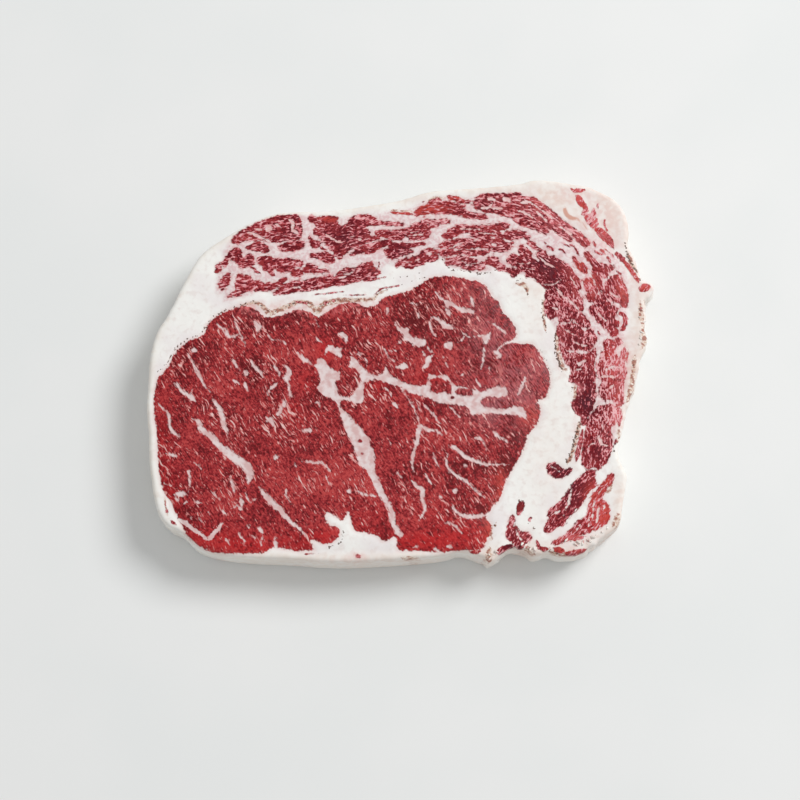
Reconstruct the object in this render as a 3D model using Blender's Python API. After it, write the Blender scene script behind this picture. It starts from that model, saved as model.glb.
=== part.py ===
"""A raw boneless ribeye steak, lying flat on its lower cut face.

The steak is one solid: a slab of even thickness whose outline follows the muscles and
the fat round them. Its upper cut face has the low relief of the real thing: the muscles
swell a little between the softer fat, a crease follows each muscle, the wide fat veins
are shallow troughs, and the edge rolls over into a side that bulges and, where the
outer membrane was trimmed, is ragged.

Plan points are in millimetres, +X to the right and +Y away from the viewer. The solid
is centred on the origin in plan and stands on Z = 0.
"""

import bmesh
import bpy
import numpy as np
from mathutils import Vector, noise
from mathutils.geometry import delaunay_2d_cdt

MM = 0.001

# Driving dimensions, in millimetres
LENGTH = 187.8
THICKNESS = 22.0
ROLL_RADIUS = 2.2
FOOT_RADIUS = 1.6

# Relief of the upper face, in millimetres
MUSCLE_SWELL = 0.8
SWELL_REACH = 7.0
CREASE_DEPTH = 0.6
CREASE_WIDTH = 1.3
VEIN_DEPTH = 0.4
SAG_DEPTH = 0.7
SAG_WAVE = 70.0

# Relief of the side, in millimetres
SIDE_BULGE = 0.9
RIPPLE_DEPTH = 0.35
RIPPLE_WAVE = 9.0
RAGGED_DEPTH = 1.3
RAGGED_WAVE = 3.6

# Mesh spacing, in millimetres
OUTLINE_STEP = 2.5
CREASE_STEP = 3.0
CREASE_ROW = 1.7
FACE_STEP = 3.5
UNDERSIDE_STEP = 6.5
SIDE_RINGS = 6

# The steak's outline, clockwise from the left end of its rim of fat
OUTLINE = [
    (-93.3, -12), (-93, 0), (-92, 8), (-89.5, 16.5), (-84.5, 25.5), (-79.5, 35.5),
    (-74, 44), (-66, 51), (-58, 55.2), (-50, 58.3), (-44, 60.2), (-36, 60.8),
    (-24, 61.6), (-10, 63.5), (2, 66), (14, 68.8), (28, 70), (40, 71),
    (47, 72.4), (54, 73), (62, 72), (70, 71.2), (75.5, 68.8), (80, 65),
    (83.4, 59.5), (84.8, 53), (84.6, 47.5), (87, 41.5), (89.2, 35.5), (91, 33.8),
    (94.2, 33.2), (93.6, 30.2), (91, 28.2), (90.4, 23.5), (91.2, 15.5), (89.6, 8),
    (87.2, -1), (84.6, -8), (82.6, -15), (80.8, -24), (79.9, -32), (82, -38.5),
    (81.6, -45), (80.4, -53), (78, -58.5), (71.5, -63.5), (64.5, -67), (57, -67.6),
    (50, -66.2), (44, -65.8), (39.5, -64.2), (35.5, -66.4), (31.5, -69.4), (26, -68.4),
    (19, -68), (10, -69), (0, -70.2), (-14, -71), (-30, -70.6), (-44, -69.8),
    (-58, -69), (-68, -67.6), (-76, -64.6), (-80.5, -60), (-86, -56.6), (-89.6, -50),
    (-91.2, -42), (-92, -32), (-92.8, -22),
]

# The eye muscle, clockwise from its left end
EYE = [
    (-91, -10), (-90, -1), (-83.5, 5), (-78.5, 12), (-72, 13), (-69, 20),
    (-60, 24.5), (-53, 24), (-49.5, 21.6), (-38, 23.2), (-30.5, 21), (-22, 25.4),
    (-12, 25), (2, 31), (12, 35.4), (22, 36), (31, 33), (37.5, 23), (42.6, 16),
    (44, 10), (50.5, 7), (55.2, -1.5), (54, -10), (51.5, -17), (46.5, -24),
    (41, -35), (36, -47), (30, -52), (34.6, -57), (31.5, -64), (22, -66),
    (6, -67), (-3, -63), (-12, -60.5), (-20, -58), (-26, -64), (-34, -66.6),
    (-48, -66.8), (-62, -67), (-72, -65), (-79, -59.5), (-85, -50), (-89, -38),
    (-90.4, -24),
]

# The cap muscle, from its left end over the top of the eye and down its right side
CAP = [
    (-69, 36), (-66.5, 46), (-60, 53), (-50, 57.6), (-38, 59.6), (-20, 59.6),
    (-6, 58.4), (8, 65), (26, 66.6), (46, 68), (56, 63), (68, 56), (78, 49.5),
    (86, 41), (88, 33), (85, 24), (84, 10), (81, -6), (79.6, -22), (77, -33),
    (68, -36), (65.4, -28), (68, -18), (63.5, -10), (62.5, 0), (58, 8),
    (55, 20), (53.5, 30), (48, 35.5), (36, 37.6), (22, 38), (10, 41.8),
    (-6, 34.4), (-24, 32), (-46, 29.8), (-62, 27), (-68.5, 29.5),
]

# Lean strips past the lower end of the cap
INNER_STRIP = [
    (53.4, -59.5), (56, -52.5), (64, -42), (70.6, -37.6), (71.8, -41.5), (66, -50.5), (59, -57.6),
]
OUTER_STRIP = [
    (57, -64.6), (64, -57.5), (70, -49), (77, -40.4), (76.4, -54), (70, -61), (63, -64.6),
]

# Wide fat veins of the eye, each a centre line and its half width
WIDE_VEINS = [
    ([(-77, -18), (-66, -29), (-56, -40), (-45, -51.5), (-35.5, -61)], 1.6),
    ([(-29.5, 4), (-26.5, -5), (-21, -14), (-16.5, -24), (-12, -33), (-7.5, -44), (-1, -60)], 2.2),
    ([(-15, 1.5), (-8, -2.3), (3, -6.5), (16, -10.2), (28, -12.5), (47, -16)], 1.9),
    ([(7, -20), (5.5, -29), (4.5, -38)], 1.3),
]

# Where the side is ragged, each a place on the outline and its reach along it
RAGGED_SPOTS = [((33, -68), 9.0), ((46, -66), 9.0), ((72, -63), 12.0), ((90.5, 22), 16.0), ((84, -8), 14.0)]

MEAT_RED = (0.42, 0.045, 0.05, 1.0)
MEAT_ROUGHNESS = 0.42


def closed_spline(points, step):
    """Points along a smooth closed curve through the given points, about a step apart."""
    knots = np.asarray(points, float)
    fine = []
    for a, b, c, d in zip(np.roll(knots, 1, 0), knots, np.roll(knots, -1, 0), np.roll(knots, -2, 0)):
        t = np.linspace(0, 1, 12, endpoint=False)[:, None]
        tangent_b, tangent_c = (c - a) / 2, (d - b) / 2
        fine.append(
            (2 * t**3 - 3 * t**2 + 1) * b
            + (t**3 - 2 * t**2 + t) * tangent_b
            + (3 * t**2 - 2 * t**3) * c
            + (t**3 - t**2) * tangent_c
        )
    fine = np.concatenate(fine)
    ring = np.vstack([fine, fine[:1]])
    along = np.concatenate([[0], np.cumsum(np.linalg.norm(np.diff(ring, axis=0), axis=1))])
    places = np.linspace(0, along[-1], round(along[-1] / step), endpoint=False)
    return np.column_stack([np.interp(places, along, ring[:, k]) for k in (0, 1)])


def distance_to_line(points, line, closed=False):
    """Each point's distance to a chain of straight pieces."""
    starts = np.asarray(line, float)
    ends = np.roll(starts, -1, 0)
    if not closed:
        starts, ends = starts[:-1], ends[:-1]
    nearest = np.full(len(points), np.inf)
    for a, b in zip(starts, ends):
        along = np.clip((points - a) @ (b - a) / ((b - a) @ (b - a)), 0, 1)
        nearest = np.minimum(nearest, np.linalg.norm(points - a - along[:, None] * (b - a), axis=1))
    return nearest


def is_inside(points, loop):
    """Whether each point lies inside a closed loop, by counting the edges to its right."""
    crossings = np.zeros(len(points), int)
    for (ax, ay), (bx, by) in zip(loop, np.roll(loop, -1, 0)):
        spans = (ay > points[:, 1]) != (by > points[:, 1])
        if ay != by:
            meets = ax + (points[:, 1] - ay) * (bx - ax) / (by - ay)
            crossings += spans & (points[:, 0] < meets)
    return crossings % 2 == 1


def outward_normals(loop):
    """Unit normals of a clockwise loop, pointing away from what it encloses."""
    along = np.roll(loop, -1, 0) - np.roll(loop, 1, 0)
    normals = np.column_stack([-along[:, 1], along[:, 0]])
    return normals / np.linalg.norm(normals, axis=1)[:, None]


def smooth_noise(points, wave, layer):
    """Soft noise from -1 to 1 over plan or side points, with bumps about a wave across."""
    return np.array([noise.noise(Vector((x / wave, y / wave, layer))) for x, y in points])


def lattice(loop, step):
    """Points of a triangular lattice inside a loop, clear of its edge."""
    low, high = loop.min(0), loop.max(0)
    rows = np.arange(low[1], high[1], step * 0.866)
    points = np.array(
        [(x + step / 2 * (k % 2), y) for k, y in enumerate(rows) for x in np.arange(low[0], high[0], step)]
    )
    points = points[is_inside(points, loop)]
    return points[distance_to_line(points, loop, closed=True) > step * 0.55]


def thinned(points, kept, clearance):
    """The points that are farther than a clearance from every kept point."""
    gaps = np.array([np.linalg.norm(kept - p, axis=1).min() for p in points])
    return points[gaps > clearance]


def upper_height(points, outline, muscles, veins):
    """Height of the upper cut face above the table, in millimetres."""
    height = THICKNESS - MUSCLE_SWELL + SAG_DEPTH * smooth_noise(points, SAG_WAVE, 3.7)
    to_crease = np.full(len(points), np.inf)
    for muscle in muscles:
        to_edge = distance_to_line(points, muscle, closed=True)
        swell = MUSCLE_SWELL * (1 - np.exp(-to_edge / SWELL_REACH * 2))
        height += np.where(is_inside(points, muscle), swell, 0)
        to_crease = np.minimum(to_crease, to_edge)
    height -= CREASE_DEPTH * np.exp(-((to_crease / CREASE_WIDTH) ** 2))
    for line, half_width in veins:
        height -= VEIN_DEPTH * np.exp(-((distance_to_line(points, line) / half_width) ** 2))
    to_rim = np.minimum(distance_to_line(points, outline, closed=True), ROLL_RADIUS)
    return height - ROLL_RADIUS + np.sqrt(ROLL_RADIUS**2 - (ROLL_RADIUS - to_rim) ** 2)


def lower_height(points, outline):
    """Height of the lower face: flat on the table, rolled up to the side at its edge."""
    to_rim = np.minimum(distance_to_line(points, outline, closed=True), FOOT_RADIUS)
    return FOOT_RADIUS - np.sqrt(FOOT_RADIUS**2 - (FOOT_RADIUS - to_rim) ** 2)


def side_rings(outline, top_edge):
    """Rings of the side from the upper face's edge down to the lower face's edge."""
    normals = outward_normals(outline)
    ragged = np.zeros(len(outline))
    for place, reach in RAGGED_SPOTS:
        ragged = np.maximum(ragged, np.exp(-((np.linalg.norm(outline - place, axis=1) / reach) ** 2)))
    around = np.arange(len(outline)) * OUTLINE_STEP
    rings = []
    for k in range(1, SIDE_RINGS):
        share = k / SIDE_RINGS
        height = top_edge + (FOOT_RADIUS - top_edge) * share
        at = np.column_stack([around, height * 2])
        out = SIDE_BULGE * np.sin(np.pi * share) ** 0.7
        out = out + RIPPLE_DEPTH * smooth_noise(at, RIPPLE_WAVE, 1.3)
        out = out + RAGGED_DEPTH * ragged * smooth_noise(at, RAGGED_WAVE, 5.1)
        rings.append(np.column_stack([outline + normals * out[:, None], height]))
    return rings


def triangulated(outline, inner):
    """Plan points and triangles of the region inside the outline, which keeps its order."""
    count = len(outline)
    edges = [(k, (k + 1) % count) for k in range(count)]
    plan = [Vector(p) for p in np.vstack([outline, inner])]
    points, _, faces, *_ = delaunay_2d_cdt(plan, edges, [], 1, 1e-6)
    return np.array([p[:] for p in points]), faces


def inner_row(loop, offset):
    """A row of points inside a loop, or outside it where the offset is negative."""
    row = loop - outward_normals(loop) * offset
    clear = distance_to_line(row, loop, closed=True) > 0.8 * abs(offset)
    return row[clear & (is_inside(row, loop) == (offset > 0))]


def rolled_edge_points(outline, radius):
    """Points just inside the outline that carry the curve of its rolled edge."""
    return np.vstack([inner_row(outline, radius * share) for share in (0.14, 0.5, 1.0)])


def crease_points(outline, muscles):
    """Points along each muscle's crease and a row to either side of it, none too close."""
    found = np.empty((0, 2))
    for offset in (0, CREASE_ROW, -CREASE_ROW):
        for muscle in muscles:
            row = muscle if offset == 0 else inner_row(muscle, offset)
            row = row[is_inside(row, outline)]
            row = row[distance_to_line(row, outline, closed=True) > 1.4 * ROLL_RADIUS]
            if len(found):
                row = thinned(row, found, CREASE_ROW * 0.75)
            found = np.vstack([found, row])
    return found


def build_steak():
    """The steak's mesh: an upper face, a side made of rings, and a lower face."""
    outline = closed_spline(OUTLINE, OUTLINE_STEP)
    centre = (outline.min(0) + outline.max(0)) / 2
    scale = LENGTH / np.ptp(outline[:, 0])
    outline = (outline - centre) * scale
    outline = outline - outward_normals(outline) * SIDE_BULGE
    muscles = (EYE, CAP, INNER_STRIP, OUTER_STRIP)
    loops = [(closed_spline(muscle, CREASE_STEP) - centre) * scale for muscle in muscles]
    veins = [((np.array(line) - centre) * scale, half_width) for line, half_width in WIDE_VEINS]

    rim = rolled_edge_points(outline, ROLL_RADIUS)
    creases = crease_points(outline, loops)
    inner = thinned(lattice(outline, FACE_STEP), np.vstack([creases, rim]), FACE_STEP * 0.52)
    upper, upper_faces = triangulated(outline, np.vstack([rim, creases, inner]))
    upper_z = upper_height(upper, outline, loops, veins)

    foot = rolled_edge_points(outline, FOOT_RADIUS)
    inner = thinned(lattice(outline, UNDERSIDE_STEP), foot, UNDERSIDE_STEP * 0.5)
    lower, lower_faces = triangulated(outline, np.vstack([foot, inner]))
    lower_z = lower_height(lower, outline)

    mesh = bmesh.new()
    count = len(outline)
    top = [mesh.verts.new((*xy * MM, z * MM)) for xy, z in zip(upper, upper_z)]
    bottom = [mesh.verts.new((*xy * MM, z * MM)) for xy, z in zip(lower, lower_z)]
    rings = [top[:count]]
    for ring in side_rings(outline, upper_z[:count]):
        rings.append([mesh.verts.new(p * MM) for p in ring])
    rings.append(bottom[:count])
    for face in upper_faces:
        mesh.faces.new([top[k] for k in face])
    for face in lower_faces:
        mesh.faces.new([bottom[k] for k in reversed(face)])
    for above, below in zip(rings, rings[1:]):
        for k in range(count):
            n = (k + 1) % count
            mesh.faces.new([above[k], above[n], below[n], below[k]])
    bmesh.ops.triangulate(mesh, faces=[f for f in mesh.faces if len(f.verts) > 3])
    bmesh.ops.recalc_face_normals(mesh, faces=mesh.faces)
    plan = np.array([v.co[:2] for v in mesh.verts])
    middle = (plan.min(0) + plan.max(0)) / 2
    bmesh.ops.translate(mesh, vec=(-middle[0], -middle[1], 0), verts=mesh.verts)
    return mesh


def meat_material():
    """Moist red meat."""
    material = bpy.data.materials.new("raw_meat")
    material.use_nodes = True
    shader = material.node_tree.nodes["Principled BSDF"]
    shader.inputs["Base Color"].default_value = MEAT_RED
    shader.inputs["Roughness"].default_value = MEAT_ROUGHNESS
    shader.inputs["Metallic"].default_value = 0.0
    return material


def main():
    for old in list(bpy.data.objects):
        bpy.data.objects.remove(old)
    data = bpy.data.meshes.new("steak")
    mesh = build_steak()
    mesh.to_mesh(data)
    mesh.free()
    data.shade_smooth()
    data.materials.append(meat_material())
    bpy.context.scene.collection.objects.link(bpy.data.objects.new("steak", data))


main()
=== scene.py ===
import math

import bpy
import numpy as np
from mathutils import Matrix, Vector, noise
from mathutils.geometry import delaunay_2d_cdt


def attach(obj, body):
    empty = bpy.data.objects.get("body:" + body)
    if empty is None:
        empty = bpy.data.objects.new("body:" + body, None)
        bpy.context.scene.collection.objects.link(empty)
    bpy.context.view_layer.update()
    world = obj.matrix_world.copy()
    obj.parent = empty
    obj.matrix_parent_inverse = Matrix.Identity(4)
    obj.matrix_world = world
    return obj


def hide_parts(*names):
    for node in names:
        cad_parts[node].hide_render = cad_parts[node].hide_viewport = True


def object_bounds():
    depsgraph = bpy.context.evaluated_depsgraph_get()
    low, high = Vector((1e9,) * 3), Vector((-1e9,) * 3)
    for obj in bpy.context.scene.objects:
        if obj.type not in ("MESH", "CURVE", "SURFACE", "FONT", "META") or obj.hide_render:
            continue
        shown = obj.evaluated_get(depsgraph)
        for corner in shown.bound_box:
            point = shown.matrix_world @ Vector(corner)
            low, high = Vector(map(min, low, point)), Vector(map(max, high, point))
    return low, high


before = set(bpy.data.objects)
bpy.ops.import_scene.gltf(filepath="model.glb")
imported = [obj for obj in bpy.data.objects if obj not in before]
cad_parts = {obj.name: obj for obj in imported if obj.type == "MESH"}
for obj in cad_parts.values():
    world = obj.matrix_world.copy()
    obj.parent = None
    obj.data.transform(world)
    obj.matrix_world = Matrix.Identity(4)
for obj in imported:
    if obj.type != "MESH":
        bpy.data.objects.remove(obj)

# The solid's own box, kept before any piece is added
cad_low, cad_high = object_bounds()

# Everything below is in millimetres until a mesh is written. The plan has +X to the right
# and +Y away from the viewer, with the steak's box centred where the solid's is.
MM = 0.001

# The slab: its thickness, its rolled edges and its broad relief
THICKNESS = 22.0
ROLL_RADIUS = 1.6
FOOT_RADIUS = 1.6
MUSCLE_SWELL = 0.8
SWELL_REACH = 7.0
CREASE_DEPTH = 0.2
CREASE_WIDTH = 1.3
SAG_DEPTH = 0.7
SAG_WAVE = 70.0
SIDE_BULGE = 0.25

# How far the cut face's edge is set out, which fades away towards the front, and the place of
# the plan that stands over the solid's middle
EDGE_OUTSET = 0.75
FRONT_EDGE = -66.0
FRONT_FADE = 12
PLAN_MIDDLE = (0.35, 0.85)

# Relief of this mesh, finer than the solid's or in waves of its own, as depths and wave lengths
VEIN_DEPTH = 0.1
LUMP_HEIGHT = 0.07
LUMP_WAVE = 3.1
RIPPLE_DEPTH = 0.45
RIPPLE_WAVE = 7.0
RAGGED_DEPTH = 1.3
RAGGED_WAVE = 3.0
TEAR_DEPTH = 0.8
TEAR_WAVE = 2.6
TEAR_HEALING = 0.9
NICK_DEPTH = 0.15
NICK_WAVE = 1.7
PIT_DEPTH = 0.12
PIT_WAVE = 1.8

# How the layers wander and draw in below the upper face, and over what depths
SURFACE_DEPTH = 1.5
DEPTH_DRIFT = 2.6
DRIFT_WAVE = 16.0
DRIFT_SHIFT = 31.7
DRIFT_DEPTHS = (0, 14)
RETREAT = 0.022
RETREAT_DEPTHS = (1, 9)

# Mesh spacing: the upper face is finest by the edges of veins, seams and muscles
EDGE_STEP = 0.7
TOP_STEP = 0.475
EDGE_BAND = 0.9
UNDERSIDE_STEP = 1.5
ROW_SHARE = 0.866
CLEAR_SHARE = 0.8
TOP_RIM_SHARES = (0.14, 0.4, 0.7, 1.0)
FOOT_RIM_SHARES = (0.14, 0.5, 1.0)
SIDE_RINGS = 18
MERGE_GAP = 1e-6

# The unwrap, in shares of the map's width: the upper face is largest, the underside lies
# below it at the left, and the side beside that in strips
MAP_MARGIN = 0.005
TOP_SHARE = 0.874
LOWER_ZONE = 0.69
UNDER_SHARE = 0.385
SIDE_STRIPS = 3
STRIP_SHARE = 0.59
STRIP_HEIGHT = 0.09

# How far from an outline or a stroke its distance is still told, how finely outlines are
# followed, and how many pieces of a line are measured together
REACH = 4.0
STROKE_REACH = 2.0
SPAN_POINTS = 12
BROAD_STEP = 1.1
FINE_STEP = 0.7
STRETCH = 10

# How blunt the strokes' ends are, how softly one layer passes into the next, and the most that
# overlapping soft areas add up to
BLUNTNESS = (-0.5, 1.0)
CAP_BLEND = (-0.8, 0.8)
WEB_BLEND = (-0.6, 1.0)
EYE_BLEND = (-1, 1)
VEIN_BLEND = (-0.6, 0.9)
SOFT_LIMIT = 1.5

# The steak's outline, clockwise from the left end of its rim of fat
OUTLINE = [
    (-87, 20.5), (-84.5, 25.5), (-82.5, 30), (-79.8, 35.3), (-76.6, 41.4), (-72.9, 46), (-68, 49.6),
    (-64, 52.2), (-60, 54.9), (-56, 56.9), (-50.5, 59.2), (-46, 60.5), (-38, 61.3), (-30, 61.3),
    (-20, 62.3), (-10, 63.8), (0, 65.6), (10, 68.6), (20, 69.7), (30, 70.3), (40, 71.2), (46, 72),
    (49, 73), (54, 73.3), (60, 72.6), (65, 71.7), (70, 71), (74, 69.2), (77, 67.8), (80.4, 65.6),
    (83.4, 61.9), (85, 57), (85.2, 52), (84.8, 48.8), (86.6, 44.6), (88.4, 39.8), (89.8, 35),
    (91.5, 34), (93.6, 33.4), (94.2, 31.5), (93, 29.3), (91.2, 27.6), (90.8, 24), (91, 20),
    (90.5, 16.5), (91.3, 12.5), (90.6, 9.5), (88.8, 5.5), (88, 1), (87, -3), (85.5, -7.5),
    (84, -12), (82.6, -17), (81.6, -22), (80.2, -27), (79.8, -31), (81, -34.5), (82.7, -38.5),
    (82.6, -42.5), (81.6, -47.5), (80.8, -52.5), (79.9, -56.8), (77.5, -59.8), (74, -62.6),
    (70.5, -65.2), (67.5, -67.5), (63, -68.8), (58, -68.8), (54, -67.6), (51, -68.6), (48, -68.6),
    (45.5, -66.8), (41.5, -66), (38, -67.3), (35.5, -69.6), (32.5, -71.2), (30, -69.8), (26, -68.2),
    (21, -67.3), (17, -68.6), (10, -69.6), (0, -70.4), (-10, -71), (-20, -71.4), (-30, -71.2),
    (-40, -70.4), (-50, -70), (-58, -69.5), (-66, -68.5), (-72, -67), (-76.2, -64.8), (-79, -61.4),
    (-81.5, -59.5), (-85, -57.7), (-87.4, -54.8), (-89.3, -50.8), (-90.4, -46), (-91.2, -41),
    (-92, -35), (-92.4, -29), (-92.5, -24), (-93.2, -18), (-93.5, -12), (-93.2, -5), (-92.9, 2),
    (-92.2, 8), (-91, 13), (-89.3, 16.8),
]

# The eye muscle, clockwise from its left end
EYE = [
    (-90.2, -3), (-87, 1), (-84.8, 5), (-82.8, 8.4), (-80, 10.8), (-77.6, 12.2), (-74.8, 13.2),
    (-72.8, 15), (-71.6, 18.2), (-69, 20.8), (-65, 23), (-60, 24.8), (-56, 24.9), (-53, 23),
    (-50, 20.8), (-46.5, 20.8), (-42, 22.3), (-38, 23.8), (-34, 22.5), (-31, 21), (-28, 22.2),
    (-24, 25), (-20, 26.2), (-16, 26), (-13, 24.6), (-9.5, 25.2), (-6, 28), (-2, 29.4), (3, 30.8),
    (7, 33), (11, 35.6), (14.5, 36.3), (19.5, 36.3), (25, 35), (28.5, 34.6), (32, 32.3), (34, 29),
    (36.8, 26), (38.2, 22.5), (41, 19.5), (43, 16), (43, 13), (41.5, 11.3), (44.5, 10.6),
    (48.5, 10.5), (51.5, 7.5), (53, 4.5), (54.8, 1), (55.4, -3), (55, -6.5), (53.5, -10),
    (50.5, -11), (51.8, -14), (51.5, -17), (50, -20.3), (47.5, -23), (46, -27.5), (44, -32),
    (41, -37), (39, -41), (37.5, -45), (36, -48.5), (33.5, -51), (31.5, -55.5), (33, -56.5),
    (33, -60), (31, -64), (29.5, -66.5), (22, -66.8), (15, -67.6), (8, -67.2), (2, -66.9),
    (-8, -67), (-20, -67), (-31.5, -66.7), (-37, -67.2), (-41, -66.6), (-44.5, -66), (-47.5, -66),
    (-50, -67.8), (-55, -68.2), (-60, -68), (-66, -67.8), (-70, -67), (-74, -65), (-78, -61.5),
    (-80.5, -57), (-83, -52), (-84.5, -49), (-87, -45), (-88.3, -41), (-89, -36), (-89.6, -30),
    (-90, -23), (-91, -17), (-91.3, -10),
]

# The cap muscle, from its left end over the top of the eye and down its right side
CAP = [
    (-69.2, 40.5), (-66.5, 43), (-66.8, 45.5), (-64.5, 49), (-62, 52), (-60, 53.8), (-50.5, 58),
    (-46, 59.6), (-38.5, 60.2), (-31, 59.8), (-24.5, 59.4), (-18, 59.8), (-11, 60.2), (-4, 61.8),
    (3, 62.6), (7, 64.6), (12, 66.2), (18, 67.6), (24, 66.6), (30, 68), (38, 68.4), (45, 68.4),
    (49, 67.2), (52, 65.6), (55, 63.2), (58, 61), (61, 58), (64, 55.5), (67, 53), (70, 51.3),
    (73, 51), (76, 49.5), (80, 45), (84, 39), (85.5, 33), (85, 28), (84.8, 22), (84, 15.5),
    (83, 10), (82.5, 2), (82.3, -5), (81.5, -12), (80.5, -18), (79.5, -25), (78.3, -29),
    (76.5, -33), (73.5, -36.5), (70, -36.2), (67.5, -33.5), (67.3, -28), (68, -24), (69, -19),
    (69.5, -16.3), (66, -16.3), (64.3, -13), (65.5, -9), (64, -5), (63, -2.5), (64, 0.5), (62, 1.5),
    (60.3, 4), (59.2, 8), (58.6, 12), (57.8, 16), (56, 19), (55, 24), (54.8, 29), (54.5, 32.3),
    (52, 34), (50, 35.5), (45, 37), (41, 38.3), (37, 39.2), (31, 37.6), (26, 38), (20, 39.2),
    (17, 40.8), (15, 42.9), (12, 42.5), (8, 41), (4, 40), (-2, 40), (-5, 41), (-7.5, 38.5),
    (-9, 35.5), (-15, 34.8), (-20, 33.8), (-25, 33), (-29, 32), (-35, 31), (-42, 30), (-47, 29.6),
    (-52, 30.8), (-56, 28.8), (-60, 28), (-63, 27), (-66, 26.2), (-66.3, 29), (-69, 30),
    (-69.2, 34), (-68.8, 37),
]

# Smaller pieces of lean at the lower right, past the end of the cap
INNER_STRIP = [
    (71.3, -37.7), (68.5, -38), (66.5, -39.5), (64.5, -41.5), (63, -43.5), (61, -46), (59.3, -48.5),
    (57, -50.5), (54.8, -52), (54.2, -53.5), (54.6, -55.2), (53.8, -57), (53, -59.3), (54.3, -60.2),
    (56, -59), (57.5, -58.2), (59.7, -57.3), (60.7, -55.5), (63.3, -53), (65.7, -50.7), (68, -47),
    (69.3, -44.6), (71.2, -43.2), (71.6, -41.5), (71, -39.7),
]
OUTER_STRIP = [
    (77.8, -38.6), (76.2, -40), (74.2, -42.2), (72.6, -44.3), (71, -46.6), (69.8, -48.8),
    (69.3, -51), (68.8, -53.5), (67.6, -55.4), (65.6, -56), (63.8, -58), (61.8, -60), (60.2, -61.6),
    (58, -62.8), (56, -64), (57, -64.6), (59, -63.8), (60.5, -63), (62.4, -62.2), (64.5, -61.4),
    (66, -60.8), (68, -60.6), (70, -59.6), (72, -58.8), (74.4, -57.5), (76.2, -55.5), (76.6, -53),
    (76, -50), (74.5, -48.4), (73, -47.6), (74.3, -46.4), (76, -43.6), (78, -40.5),
]
NUB = [
    (40.7, -54.5), (41.3, -54), (41.7, -55), (41.3, -56.5), (41, -58), (42.3, -58.3), (43.5, -59.8),
    (45, -60.3), (46.8, -60.3), (47.9, -62), (47.2, -63.2), (46.3, -64), (45.5, -65), (44.3, -66),
    (43, -65.3), (41.5, -64), (40, -63), (39, -62), (39.2, -60), (39.6, -57.5), (40.1, -56),
]
COMMA = [
    (54.3, -35.3), (56.8, -34.8), (58, -35.5), (60, -36.5), (60.6, -37.3), (61.5, -36.7),
    (62.5, -36.5), (62.3, -38), (61, -38.8), (59.5, -39.5), (57.8, -39.9), (56, -39.2),
    (54.8, -37.8),
]

# Fat that bites into the eye from its lower edge
POCKET = [
    (-28, -53.5), (-25.5, -53.5), (-22, -55.5), (-20, -54.5), (-19, -52.3), (-18, -56),
    (-17, -59.5), (-13, -60.3), (-9, -61.5), (-6, -63.5), (-2, -62), (-1, -66.5), (-1, -72),
    (-32, -72), (-31.5, -66.7), (-33, -63), (-28, -64.5), (-24, -63.3), (-22.5, -61), (-23, -58.5),
    (-26, -57.5),
]

# The forked vein in the middle of the eye, as the outlines of its fat
FORK = [
    (-30.5, 4.8), (-28.5, 4.6), (-26.5, 2.2), (-25, 0.5), (-22.5, 0), (-19.5, 1.6), (-18.6, 5.8),
    (-17, 5), (-15.5, 3.5), (-14, 1.8), (-12.5, 0.8), (-11.5, -0.5), (-10, -1.2), (-7, -1),
    (-5.5, 1.3), (-4, -0.5), (-3, -2), (-1, -3), (1, -4.2), (3, -4.8), (5, -5.3), (8, -5.4),
    (9.5, -4.8), (10.4, -3), (10.3, -1), (12, -1.4), (14, -1.9), (17, -1.4), (18, -2.6), (20, -5),
    (22, -5.6), (24, -5.8), (25.5, -6.4), (27.5, -7), (29, -7.5), (30.5, -7.3), (33, -6.6),
    (36, -5.5), (39, -6), (40, -9), (36, -10), (33, -9.6), (31, -10), (29.8, -11.5), (30.5, -13),
    (33, -13.4), (36, -14.2), (39, -14), (42, -13), (45, -13.5), (47, -16), (46.5, -18.5),
    (44, -17), (41, -16.5), (37, -16.5), (33, -16), (28, -16.5), (26, -16.5), (25, -14), (22, -13),
    (18, -12.6), (14, -12), (10, -10.2), (6, -9), (4, -8.7), (2, -7.5), (0, -6), (-3, -5.5),
    (-5, -4.5), (-8, -3.5), (-10, -3.3), (-12, -3.8), (-13.5, -5), (-13.7, -7.5), (-13.2, -10.5),
    (-15, -12.2), (-17, -12.2), (-19, -11.2), (-20.5, -10.8), (-22.2, -12), (-22.4, -13.6),
    (-21, -14.5), (-19, -16.5), (-17, -19), (-15, -21), (-13.5, -23), (-12, -25), (-11, -27),
    (-9.8, -30), (-9.2, -34), (-9, -38), (-7.5, -41.5), (-6, -45), (-3.8, -49), (-2, -53),
    (-1.6, -57), (1, -61), (0.5, -62.5), (-2, -60.5), (-4.2, -56), (-4.6, -52), (-6.6, -49),
    (-8.6, -46), (-10.5, -42), (-12.4, -38), (-15.4, -35), (-16.6, -31.5), (-17.8, -28),
    (-18.5, -26.5), (-19.5, -24.5), (-20.5, -22), (-21.5, -19.5), (-22, -17), (-22.5, -15),
    (-23.2, -13.4), (-25, -11), (-27, -10), (-29, -9), (-30.2, -7.5), (-31.4, -6), (-30.3, -5.2),
    (-30.2, -3), (-30.6, -1), (-31.5, 1.2), (-33, 2.2), (-35.5, 3.2), (-37, 4.6), (-38.8, 7.6),
    (-37, 6.4), (-35, 5.2), (-33.4, 3.6), (-31.6, 2.4),
]
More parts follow.
